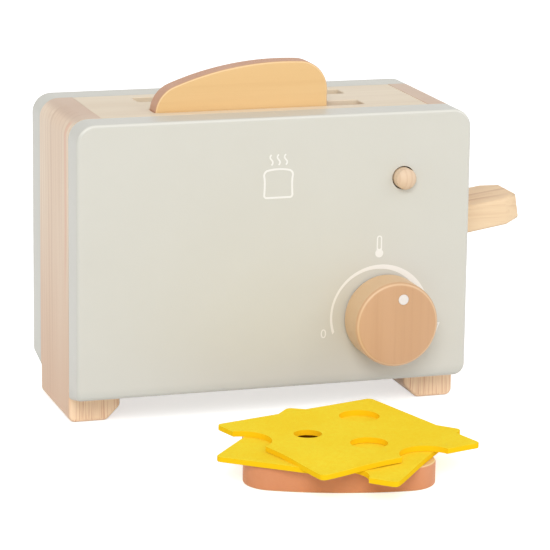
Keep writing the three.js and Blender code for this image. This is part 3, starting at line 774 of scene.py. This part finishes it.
# The lying slice's rim is a warmer orange: partly its brown stain, partly painted reflection of the
# yellow felt lying on it
lying_toast_wood_painted_bounce = slice_wood(
    "toast_wood_lying_painted_bounce", GRAIN_LOOSE, 2, tint(208, 132, 84), tint(222, 152, 108)
)
print_paint = satin_paint("print_paint_white", tint(241, 239, 234), tint(236, 234, 228), 0.4)
button_wood = wood(
    "button_wood_turned",
    tint(235, 211, 182),
    tint(226, 198, 168),
    tint(196, 156, 120),
    GRAIN_UP,
    spot(BUTTON_X, 0, BUTTON_Z),
    pith=(0.07, 0.05),
    ring=0.003,
    lines=0.3,
)

# Solids that no piece below stands for are shown as they are, in the finish of their slot
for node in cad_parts.values():
    for carried in node.material_slots:
        carried.material = finishes[carried.material.name.split(".")[0]]


# Case


def painted_panel(name, node, outer, inner, lower_left):
    """A panel between its outer and inner face, with round corners.

    The lower edge of the inner face lies lower than that of the outer face.
    """
    piece = block(name, *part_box(node))
    on_inner = at_depth(inner)
    mark_edges(piece, lambda a, b: on_inner(a, b) and max(a.z, b.z) < CASE_MIDDLE * MM)
    bpy.ops.transform.translate(value=(0, 0, -PANEL_SLOPE * MM))
    bpy.ops.object.mode_set(mode="OBJECT")
    corners = [
        (-1, 1, PANEL_CORNER),
        (1, 1, PANEL_CORNER),
        (-1, -1, lower_left),
        (1, -1, PANEL_LOWER_RIGHT),
    ]
    for side, up, radius in corners:
        round_edges(piece, at_corner(side, up), radius, 12)
    round_edges(piece, at_depth(outer), PANEL_EDGE, 5)
    round_edges(piece, on_inner, PANEL_BACK_EDGE, 2)
    return piece


def front_panel():
    piece = painted_panel("front_panel_painted", "front_panel", 0, PANEL_DEPTH, PANEL_LOWER_LEFT)
    past = PANEL_DEPTH + CUT_PAST
    button_bores = [
        *bore(BUTTON_BORE, -CUT_PAST, BUTTON_BORE_DEPTH),
        *bore(COLLAR_BORE, BUTTON_BORE_DEPTH, past),
    ]
    drill(piece, BUTTON_X, BUTTON_Z, button_bores, BORE_SIDES)
    drill(piece, KNOB_X, KNOB_Z, bore(AXLE_BORE, -CUT_PAST, past), BORE_SIDES)
    drill(piece, PIVOT_X, PIVOT_Z, bore(PIN_BORE, PIN_COVER, past), BORE_SIDES)
    on_face = at_depth(0)
    centre = spot(BUTTON_X, 0, BUTTON_Z)
    reach = (BUTTON_BORE + BUTTON_BORE_EDGE) * MM

    def hole_rim(a, b):
        return on_face(a, b) and max((a - centre).length, (b - centre).length) < reach

    round_edges(piece, hole_rim, BUTTON_BORE_EDGE, 2)
    finish_shell(piece, CASE_SMOOTH)
    dress(piece, "case", "panel_paint", finishes["panel_paint"], "front_panel")


def back_panel():
    inner = CASE_DEPTH - PANEL_DEPTH
    piece = painted_panel("back_panel_painted", "back_panel", CASE_DEPTH, inner, BACK_LOWER_LEFT)
    pin_bore = bore(PIN_BORE, inner - CUT_PAST, CASE_DEPTH - PIN_COVER)
    drill(piece, PIVOT_X, PIVOT_Z, pin_bore, BORE_SIDES)
    screw_bores = [
        *bore(SCREW_BORE, inner - 2 * CUT_PAST, CASE_DEPTH - SCREW_HEAD_DEPTH),
        *bore(SCREW_HEAD_BORE, CASE_DEPTH, CASE_DEPTH + CUT_PAST),
    ]
    for where in ("lower_left", "lower_right", "upper_left", "upper_right"):
        low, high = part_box("back_screw_" + where)
        x = ((low.x + high.x) / 2 - CASE_X) / MM
        z = (low.z + high.z) / 2 / MM
        drill(piece, x, z, screw_bores, SMALL_SIDES)
    finish_shell(piece, CASE_SMOOTH)
    dress(piece, "case", "panel_paint", finishes["panel_paint"], "back_panel")


def post(name):
    """A post seen from the front as the left one: rebated for the top board, ending in a foot."""
    board_underside = CASE_TOP - BOARD_THICKNESS
    upper = [
        (-HALF_WIDTH, FOOT_TOP),
        (-INNER_HALF, FOOT_TOP),
        (-INNER_HALF, board_underside),
        (POST_SHOULDER - HALF_WIDTH, board_underside),
        (POST_SHOULDER - HALF_WIDTH, CASE_TOP),
        *arc(PANEL_CORNER - HALF_WIDTH, CASE_TOP - PANEL_CORNER, PANEL_CORNER, 90, 180, 14),
    ]
    lap = FOOT_TOP + PANEL_CORNER
    soften = FOOT_RADIUS * math.tan(math.pi / 8)
    foot = [
        *arc(FOOT_RADIUS - HALF_WIDTH, FOOT_RADIUS, FOOT_RADIUS, 180, 270, 8),
        *arc(-INNER_HALF - FOOT_CHAMFER - soften, FOOT_RADIUS, FOOT_RADIUS, 270, 315, 4),
        *arc(-INNER_HALF - FOOT_RADIUS, FOOT_CHAMFER + soften, FOOT_RADIUS, 315, 360, 4),
        (-INNER_HALF, lap),
        (-HALF_WIDTH, lap),
    ]
    core_depth = CASE_DEPTH - 2 * PANEL_DEPTH
    matrix = standing(0, CORE_MIDDLE, 0)
    piece = square_board(name, [upper], core_depth, matrix)
    combine(piece, board("foot", [foot], core_depth, FOOT_EDGE, matrix), "UNION")
    return piece


def left_post():
    piece = post("left_post_sanded")
    finish_shell(piece, CASE_SMOOTH)
    dress(piece, "case", "post_wood", finishes["post_wood"], "left_post")


def lever_face(x, angle, side):
    """Height of the lever's upper face, side 1, or lower face, side -1, at a given x."""
    middle = PIVOT_Z + (x - PIVOT_X) * math.tan(angle)
    return middle + side * LEVER_THICKNESS / 2 / math.cos(angle)


def right_post():
    """The left post turned half round, with the window that the lever leaves by."""
    piece = post("right_post_sanded")
    middle = spot(0, CORE_MIDDLE, 0)
    half_turn = Matrix.Rotation(math.pi, 4, "Z")
    fix_place(piece, Matrix.Translation(middle) @ half_turn @ Matrix.Translation(-middle))
    top = lever_face(HALF_WIDTH, LEVER_TILT, 1) + WINDOW_END_GAP
    bottom = lever_face(HALF_WIDTH, LEVER_PRESSED, -1) - WINDOW_END_GAP
    width = HANDLE_WIDTH + 2 * WINDOW_SIDE_GAP
    sideways = (
        Matrix.Translation(spot(HALF_WIDTH - POST_WIDTH / 2, CORE_MIDDLE, (top + bottom) / 2))
        @ Matrix.Rotation(math.pi / 2, 4, "Z")
        @ STANDING
    )
    outline = rounded_rectangle(width, top - bottom, WINDOW_CORNER)
    combine(piece, square_board("window", [outline], POST_WIDTH + 2 * CUT_PAST, sideways))
    outer = spot(HALF_WIDTH, 0, 0).x
    half = width / 2 + WINDOW_MARGIN
    low = spot(0, CORE_MIDDLE - half, bottom - WINDOW_MARGIN)
    high = spot(0, CORE_MIDDLE + half, top + WINDOW_MARGIN)

    def on_rim(p):
        return abs(p.x - outer) < NEAR and low.y < p.y < high.y and low.z < p.z < high.z

    round_edges(piece, lambda a, b: on_rim(a) and on_rim(b), WINDOW_EDGE, 2)
    finish_shell(piece, CASE_SMOOTH)
    dress(piece, "case", "post_wood", finishes["post_wood"], "right_post")


def top_board():
    half = HALF_WIDTH - POST_SHOULDER
    depth = CORE_MIDDLE - PANEL_DEPTH
    outline = [(half, depth), (-half, depth), (-half, -depth), (half, -depth)]
    slots = [
        rounded_rectangle(SLOT_LENGTH, SLOT_WIDTH, SLOT_CORNER, SLOT_SHIFT, side * SLOT_SPACING / 2)
        for side in (-1, 1)
    ]
    place = Matrix.Translation(spot(0, CORE_MIDDLE, CASE_TOP - BOARD_THICKNESS / 2))
    piece = board("top_board_sanded", [outline, *slots], BOARD_THICKNESS, BOARD_EDGE, place)
    dress(piece, "case", "board_wood", finishes["board_wood"], "top_board")


# Lever and toast

pivot = spot(PIVOT_X, CORE_MIDDLE, PIVOT_Z)
rocker_place = Matrix.Translation(pivot) @ Matrix.Rotation(-LEVER_TILT, 4, "Y")


def lever():
    arm, handle = ARM_WIDTH / 2, HANDLE_WIDTH / 2
    length, width = HANDLE_CHAMFER
    heel = ARM_CORNER - ARM_HEEL
    outline = [
        *arc(ARM_REACH - ARM_CORNER, ARM_CORNER - arm, ARM_CORNER, -90, 0),
        *arc(ARM_REACH + NECK_RADIUS, -handle - NECK_RADIUS, NECK_RADIUS, 180, 90),
        (HANDLE_REACH - length, -handle),
        (HANDLE_REACH, width - handle),
        (HANDLE_REACH, handle - width),
        (HANDLE_REACH - length, handle),
        *arc(ARM_REACH + NECK_RADIUS, handle + NECK_RADIUS, NECK_RADIUS, -90, -180),
        *arc(ARM_REACH - ARM_CORNER, arm - ARM_CORNER, ARM_CORNER, 0, 90),
        *arc(heel, arm - ARM_CORNER, ARM_CORNER, 90, 180),
        *arc(heel, ARM_CORNER - arm, ARM_CORNER, 180, 270),
    ]
    piece = board("lever_sanded", [outline], LEVER_THICKNESS, LEVER_EDGE, rocker_place, 5)
    ends = (CORE_MIDDLE - arm - CUT_PAST, CORE_MIDDLE + arm + CUT_PAST)
    drill(piece, PIVOT_X, PIVOT_Z, bore(PIVOT_HOLE, *ends), BORE_SIDES)
    finish_shell(piece)
    dress(piece, "rocker", "lever_wood", finishes["lever_wood"], "lever_arm")


def toast_outline():
    """A slice seen from the front, the middle of its lower edge at the origin."""
    reach = TOAST_DOME - TOAST_LOBE
    dome_centre = TOAST_HEIGHT - TOAST_DOME
    lobe_height = dome_centre + math.sqrt(reach**2 - TOAST_LOBE_SPREAD**2)
    waist = Vector((TOAST_WAIST / 2, TOAST_WAIST_RISE))
    to_waist = waist - Vector((TOAST_LOBE_SPREAD, lobe_height))
    start = math.atan2(to_waist.y, to_waist.x) + math.acos(TOAST_LOBE / to_waist.length)
    end = math.acos(TOAST_LOBE_SPREAD / reach)
    start_x = TOAST_LOBE_SPREAD + TOAST_LOBE * math.cos(start)
    start_y = lobe_height + TOAST_LOBE * math.sin(start)
    lobe_start = Vector((start_x, start_y))
    foot = TOAST_FOOT / 2
    side_foot = Vector((foot, TOAST_FOOT_RADIUS))
    side_steps = 24
    shares = [step / side_steps for step in range(1, side_steps)]
    side = [(1 - t) ** 2 * side_foot + 2 * t * (1 - t) * waist + t**2 * lobe_start for t in shares]
    start, end = math.degrees(start), math.degrees(end)
    right = [
        *arc(foot - TOAST_FOOT_RADIUS, TOAST_FOOT_RADIUS, TOAST_FOOT_RADIUS, -90, 0, 12),
        *((point.x, point.y) for point in side),
        *arc(TOAST_LOBE_SPREAD, lobe_height, TOAST_LOBE, start, end, 18),
    ]
    dome = arc(0, dome_centre, TOAST_DOME, end, 180 - end, 24)
    return right + dome[1:-1] + [(-x, y) for x, y in reversed(right)]


def toast_in_slot():
    place = rocker_place @ Matrix.Translation(Vector(TOAST_PLACE) * MM) @ STANDING
    piece = board("toast_in_slot", [toast_outline()], TOAST_THICKNESS, TOAST_EDGE, place)
    dress(piece, "toast", "toast_wood", finishes["toast_wood"], "toast_slice")


def loose_toast():
    middle = spot(*LOOSE_PLACE, TOAST_THICKNESS / 2)
    place = Matrix.Translation(middle) @ Matrix.Rotation(LOOSE_TURN, 4, "Z")
    piece = board("loose_toast", [toast_outline()], TOAST_THICKNESS, TOAST_EDGE, place)
    dress(piece, "bread", "toast_wood", lying_toast_wood_painted_bounce, "loose_slice")


# Dial and button


def dial():
    front, back = KNOB_FACE_EDGE, KNOB_BACK_EDGE
    rings = [
        *arc(KNOB_RADIUS - front, KNOB_FACE + front, front, -90, 0, 8),
        *arc(KNOB_RADIUS - back, KNOB_BACK - back, back, 0, 90, 3),
    ]
    piece = turned("dial_knob", KNOB_X, KNOB_Z, rings, 128)
    dot_hole = bore(DOT_RADIUS + DOT_GAP, KNOB_FACE - CUT_PAST, KNOB_FACE + DOT_HOLE_DEPTH)
    drill(piece, DOT_X, DOT_Z, dot_hole, SMALL_SIDES)
    finish_shell(piece)
    dress(piece, "dial", "knob_wood", finishes["knob_wood"], "knob")
    face = KNOB_FACE - DOT_PROUD
    rings = [
        *arc(DOT_RADIUS - DOT_EDGE, face + DOT_EDGE, DOT_EDGE, -90, 0, 3),
        (DOT_RADIUS, KNOB_FACE + DOT_DEPTH),
    ]
    dot = turned("dial_dot", DOT_X, DOT_Z, rings, SMALL_SIDES)
    dress(dot, "dial", "white_paint", finishes["white_paint"], "knob_dot")


def push_button():
    steps = 10
    full = math.asin(BUTTON_RADIUS / BUTTON_DOME)
    dome = [
        (BUTTON_DOME * math.sin(turn), BUTTON_TIP + BUTTON_DOME * (1 - math.cos(turn)))
        for turn in (full * step / steps for step in range(1, steps + 1))
    ]
    tail = (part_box("button")[1].y - FACE_Y) / MM
    rings = [
        *dome,
        (BUTTON_RADIUS, BUTTON_SHOULDER),
        (STEM_RADIUS, BUTTON_SHOULDER),
        (STEM_RADIUS, tail - STEM_TAPER),
        (STEM_END_RADIUS, tail),
    ]
    piece = turned("push_button", BUTTON_X, BUTTON_Z, rings, 64)
    dress(piece, "push_button", "lever_wood", button_wood, "button")


# Felt cheese

# Across, along and width of each hole, as shares of the slice's side
UPPER_HOLES = [
    (0.243, 0.239, 0.218),
    (-0.185, 0.1, 0.149),
    (-0.004, -0.202, 0.198),
    (0.139, -0.525, 0.297),
    (-0.554, 0.181, 0.333),
]
LOWER_HOLES = [
    (0.25, 0.25, 0.17),
    (-0.195, 0.08, 0.21),
    (-0.02, -0.28, 0.16),
    (0.21, -0.52, 0.27),
]


def divide(piece):
    """Cuts the felt along a grid, so that it can bend."""
    open_whole(piece, "EDGE")
    for axis in (0, 1):
        across = [0, 0, 0]
        across[axis] = 1
        for step in range(-CHEESE_LINES, CHEESE_LINES + 1):
            cut = [0, 0, 0]
            cut[axis] = step * CHEESE_LINE_SPACING * MM
            bpy.ops.mesh.select_all(action="SELECT")
            bpy.ops.mesh.bisect(plane_co=cut, plane_no=across)
    bpy.ops.object.mode_set(mode="OBJECT")


def punch(piece, across, along, width):
    """Cuts one round hole, or a bite where it crosses the side."""
    deselect()
    bpy.ops.mesh.primitive_cylinder_add(
        vertices=72,
        radius=CHEESE_SIDE * width / 2 * MM,
        depth=4 * CHEESE_THICKNESS * MM,
        location=(CHEESE_SIDE * across * MM, CHEESE_SIDE * along * MM, 0),
    )
    cutter = named("hole")
    fix_place(cutter)
    combine(piece, cutter)


def cheese(name, node, body, place, turn, holes, bulge, sag):
    """A square of felt with round holes and bites, laid at a place and turned by degrees.

    Its far side is cut round by the bulge. The sag is the corner that nothing carries, how far
    from that corner the felt bends, and how deep the corner hangs.
    """
    outline = rounded_rectangle(CHEESE_SIDE, CHEESE_SIDE, CHEESE_CORNER)
    piece = board(name, [outline], CHEESE_THICKNESS, CHEESE_EDGE, steps=2)
    divide(piece)
    for hole in holes:
        punch(piece, *hole)
    open_whole(piece, "EDGE")
    bpy.ops.mesh.remove_doubles(threshold=FELT_SEAM)
    bpy.ops.object.mode_set(mode="OBJECT")
    half = CHEESE_SIDE / 2 * MM
    for vertex in piece.data.vertices:
        across, along = (max(-1, min(1, value / half)) for value in vertex.co.xy)
        vertex.co.y += bulge * MM * max(0, along) * math.cos(across * math.pi / 2)
    corner_x, corner_y, reach, drop = sag
    for vertex in piece.data.vertices:
        x, y = vertex.co.xy
        away = Vector((x - corner_x * half, y - corner_y * half)).length
        share = max(0, 1 - away / (reach * MM))
        fall = drop * MM * share * share * (3 - 2 * share)
        pattern = Vector((x * CHEESE_RIPPLES_PER_METRE, y * CHEESE_RIPPLES_PER_METRE, place[2]))
        vertex.co.z += noise.noise(pattern) * CHEESE_RIPPLE * MM - fall
    turn = Matrix.Rotation(math.radians(turn), 4, "Z")
    fix_place(piece, Matrix.Translation(spot(*place)) @ turn)
    finish_shell(piece, 60)
    dress(piece, body, "yellow_felt", finishes["yellow_felt"], node)


def lower_cheese():
    cheese(
        "felt_cheese_lower",
        "cheese_lower",
        "cheese_below",
        place=(3.3, -106.5, 14.6),
        turn=-39.5,
        holes=LOWER_HOLES,
        bulge=5,
        sag=(1, -1, 46, 1.2),
    )


def upper_cheese():
    cheese(
        "felt_cheese_upper",
        "cheese_upper",
        "cheese_above",
        place=(9, -101.2, 17.7),
        turn=16,
        holes=UPPER_HOLES,
        bulge=0,
        sag=(-1, -1, 42, 2),
    )


# Prints on the front

PRINT_PROUD = 0.06
PRINT_THICKNESS = 0.12
PRINT_MIDDLE = PRINT_THICKNESS / 2 - PRINT_PROUD

# The crescent's two circles, each by its middle and radius, and its ends in degrees
SCALE_OUTER = (62, 56.3, 29.7)
SCALE_INNER = (60.5, 56.7, 26.9)
SCALE_ENDS = (198.5, -14)

# The drawn slice, and the steam above it
ICON_X, ICON_Z = 0.6, 128
ICON_SCALE = 0.165
ICON_LINE = 1.1
STEAM_OFFSETS = (-4.2, 0, 4.2)
STEAM_START = 146.5
STEAM_HEIGHT = 6
STEAM_SWING = 0.8
STEAM_LINE = 0.9
STEAM_STEPS = 20


def printed(name, outlines):
    piece = square_board(name, outlines, PRINT_THICKNESS, standing(0, PRINT_MIDDLE, 0))
    dress(piece, "case", "white_paint", print_paint)


def line_sides(points, width):
    """The left and the right side of a line of even width along points."""
    places = [Vector(point) for point in points]
    left, right = [], []
    for index, point in enumerate(places):
        along = places[min(index + 1, len(places) - 1)] - places[max(index - 1, 0)]
        side = Vector((-along.y, along.x)).normalized() * width / 2
        left.append(tuple(point + side))
        right.append(tuple(point - side))
    return left, right


def scale_print():
    """A crescent round the dial, between two circles that aren't quite concentric."""
    outer = arc(*SCALE_OUTER, *SCALE_ENDS, 64)
    inner = arc(*SCALE_INNER, *SCALE_ENDS, 64)
    printed("print_scale", [outer + inner[::-1]])


def digit_print(name, digit, left, bottom, width, height):
    deselect()
    bpy.ops.object.text_add()
    text = bpy.context.object
    text.data.body = digit
    text.data.extrude = PRINT_THICKNESS / 2 * MM
    text.data.resolution_u = 8
    bpy.ops.object.convert(target="MESH")
    piece = named(name)
    corners = [Vector(corner) for corner in piece.bound_box]
    low = Vector((min(c.x for c in corners), min(c.y for c in corners), 0))
    high = Vector((max(c.x for c in corners), max(c.y for c in corners), 1))
    wide, tall = width * MM / (high.x - low.x), height * MM / (high.y - low.y)
    scale = Matrix.Diagonal((wide, tall, 1, 1))
    fix_place(piece, standing(left, PRINT_MIDDLE, bottom) @ scale @ Matrix.Translation(-low))
    finish_shell(piece)
    dress(piece, "case", "white_paint", print_paint)


def thermometer_print():
    """A bulb with a hollow tube above it."""
    middle, half, wall = 61.1, 1.6, 0.75
    bulb_z, bulb, top = 92.6, 2.4, 102.9
    bulb_gap = 0.9
    meet = math.degrees(math.acos(half / bulb))
    outline = [
        *arc(middle, bulb_z, bulb, 180 - meet, 360 + meet, 28),
        *arc(middle, top - half, half, 0, 180, 12),
    ]
    tube = half - wall
    channel = [
        *arc(middle, top - half, tube, 0, 180, 8),
        *arc(middle, bulb_z + bulb + bulb_gap, tube, 180, 360, 8),
    ]
    printed("print_thermometer", [outline, channel])


def slice_print():
    """A plain slice of toast in outline with three wisps of steam."""
    points = [(ICON_X + x * ICON_SCALE, ICON_Z + y * ICON_SCALE) for x, y in toast_outline()]
    # The line is closed, so that its first point comes twice; one of the two is left out again
    left, right = line_sides(points + points[:1], ICON_LINE)
    printed("print_slice", [left[:-1], right[:-1]])
    for number, offset in enumerate(STEAM_OFFSETS, start=1):
        wisp = [
            (
                ICON_X + offset + STEAM_SWING * math.sin(math.tau * step / STEAM_STEPS),
                STEAM_START + STEAM_HEIGHT * step / STEAM_STEPS,
            )
            for step in range(STEAM_STEPS + 1)
        ]
        left, right = line_sides(wisp, STEAM_LINE)
        printed(f"print_steam_{number}", [left + right[::-1]])


# Floor, light and camera

# Metres; the floor lies a little below zero, so that it doesn't cut the undersides
FLOOR_SIZE = 60
FLOOR_LEVEL = -0.0001
FLOOR_COLOUR = (0.9, 0.9, 0.9, 1)
FLOOR_LIFT = 0.6
WORLD_STRENGTH = 0.62
WHITE = (1, 1, 1, 1)

# Name, place, size and power of each lamp; both look at one place
LAMPS = [
    ("key", (-0.95, -2.6, 1.9), 1.6, 46),
    ("fill", (2.4, -1.6, 1.8), 2.0, 15),
]
LAMP_TARGET = (0, 0, 0.08)

# Fitted to the case's edges in the photograph: place in millimetres, measured as all places are,
# pitch, roll and yaw in degrees, and focal length in points of a picture so many points wide
CAMERA_PLACE = (-500.4, -1568.5, 476.4)
CAMERA_ANGLES = (13.42, -0.74, 17.67)
FOCAL_POINTS = 3014.7
PICTURE_POINTS = 550
SENSOR_WIDTH = 36


def lit_by_camera(tree):
    """1 for what the camera, a mirror-like surface or clear glass sees, else 0."""
    path = tree.nodes.new("ShaderNodeLightPath")
    seen = path.outputs["Is Camera Ray"]
    for name in ("Is Glossy Ray", "Is Transmission Ray"):
        either = tree.nodes.new("ShaderNodeMath")
        either.operation = "MAXIMUM"
        tree.links.new(seen, either.inputs[0])
        tree.links.new(path.outputs[name], either.inputs[1])
        seen = either.outputs[0]
    return seen


def floor():
    """White paper that takes shadows, and glows a little for what the camera sees."""
    deselect()
    bpy.ops.mesh.primitive_plane_add(size=FLOOR_SIZE, location=(0, 0, FLOOR_LEVEL))
    ground = named("floor")
    fix_place(ground)
    paper = bpy.data.materials.new("floor_paper")
    paper.use_nodes = True
    tree = paper.node_tree
    tree.nodes.clear()
    matt = tree.nodes.new("ShaderNodeBsdfDiffuse")
    matt.inputs["Color"].default_value = FLOOR_COLOUR
    glow = tree.nodes.new("ShaderNodeEmission")
    lift = tree.nodes.new("ShaderNodeMath")
    lift.operation = "MULTIPLY"
    lift.inputs[1].default_value = FLOOR_LIFT
    tree.links.new(lit_by_camera(tree), lift.inputs[0])
    tree.links.new(lift.outputs[0], glow.inputs["Strength"])
    both = tree.nodes.new("ShaderNodeAddShader")
    output = tree.nodes.new("ShaderNodeOutputMaterial")
    tree.links.new(matt.outputs[0], both.inputs[0])
    tree.links.new(glow.outputs[0], both.inputs[1])
    tree.links.new(both.outputs[0], output.inputs[0])
    ground.data.materials.append(paper)


def studio_light():
    """A world that is white for the camera and dimmer as a light, and two round lamps."""
    world = bpy.data.worlds.new("studio")
    bpy.context.scene.world = world
    world.use_nodes = True
    tree = world.node_tree
    background = tree.nodes["Background"]
    mix = tree.nodes.new("ShaderNodeMapRange")
    mix.inputs["To Min"].default_value = WORLD_STRENGTH
    mix.inputs["To Max"].default_value = 1.0
    tree.links.new(lit_by_camera(tree), mix.inputs["Value"])
    tree.links.new(mix.outputs[0], background.inputs["Strength"])
    background.inputs["Color"].default_value = WHITE
    for name, place, size, power in LAMPS:
        lamp = bpy.data.lights.new(name, "AREA")
        lamp.shape = "DISK"
        lamp.size = size
        lamp.energy = power
        holder = add_object(name, lamp)
        holder.location = place
        towards = Vector(LAMP_TARGET) - Vector(place)
        holder.rotation_euler = towards.to_track_quat("-Z", "Y").to_euler()


def camera():
    pitch, roll, yaw = (math.radians(angle) for angle in CAMERA_ANGLES)
    level = math.cos(pitch)
    ahead = Vector((math.sin(yaw) * level, math.cos(yaw) * level, -math.sin(pitch)))
    right = Vector((math.cos(yaw), -math.sin(yaw), 0))
    down = ahead.cross(right)
    across = right * math.cos(roll) + down * math.sin(roll)
    below = down * math.cos(roll) - right * math.sin(roll)
    seen = bpy.data.cameras.new("view")
    seen.sensor_width = SENSOR_WIDTH
    seen.sensor_fit = "HORIZONTAL"
    seen.lens = FOCAL_POINTS / PICTURE_POINTS * SENSOR_WIDTH
    holder = add_object("view", seen)
    turn = Matrix((across, -below, -ahead)).transposed().to_4x4()
    holder.matrix_world = Matrix.Translation(spot(*CAMERA_PLACE)) @ turn
    bpy.context.scene.camera = holder


# Building

front_panel()
back_panel()
left_post()
right_post()
top_board()
lever()
toast_in_slot()
loose_toast()
dial()
push_button()
lower_cheese()
upper_cheese()
scale_print()
digit_print("print_zero", "0", left=26.9, bottom=45, width=3.2, height=5.2)
digit_print("print_seven", "7", left=95.6, bottom=44.3, width=3.2, height=5.6)
thermometer_print()
slice_print()
floor()
studio_light()
camera()
bpy.context.scene.view_settings.view_transform = "Standard"
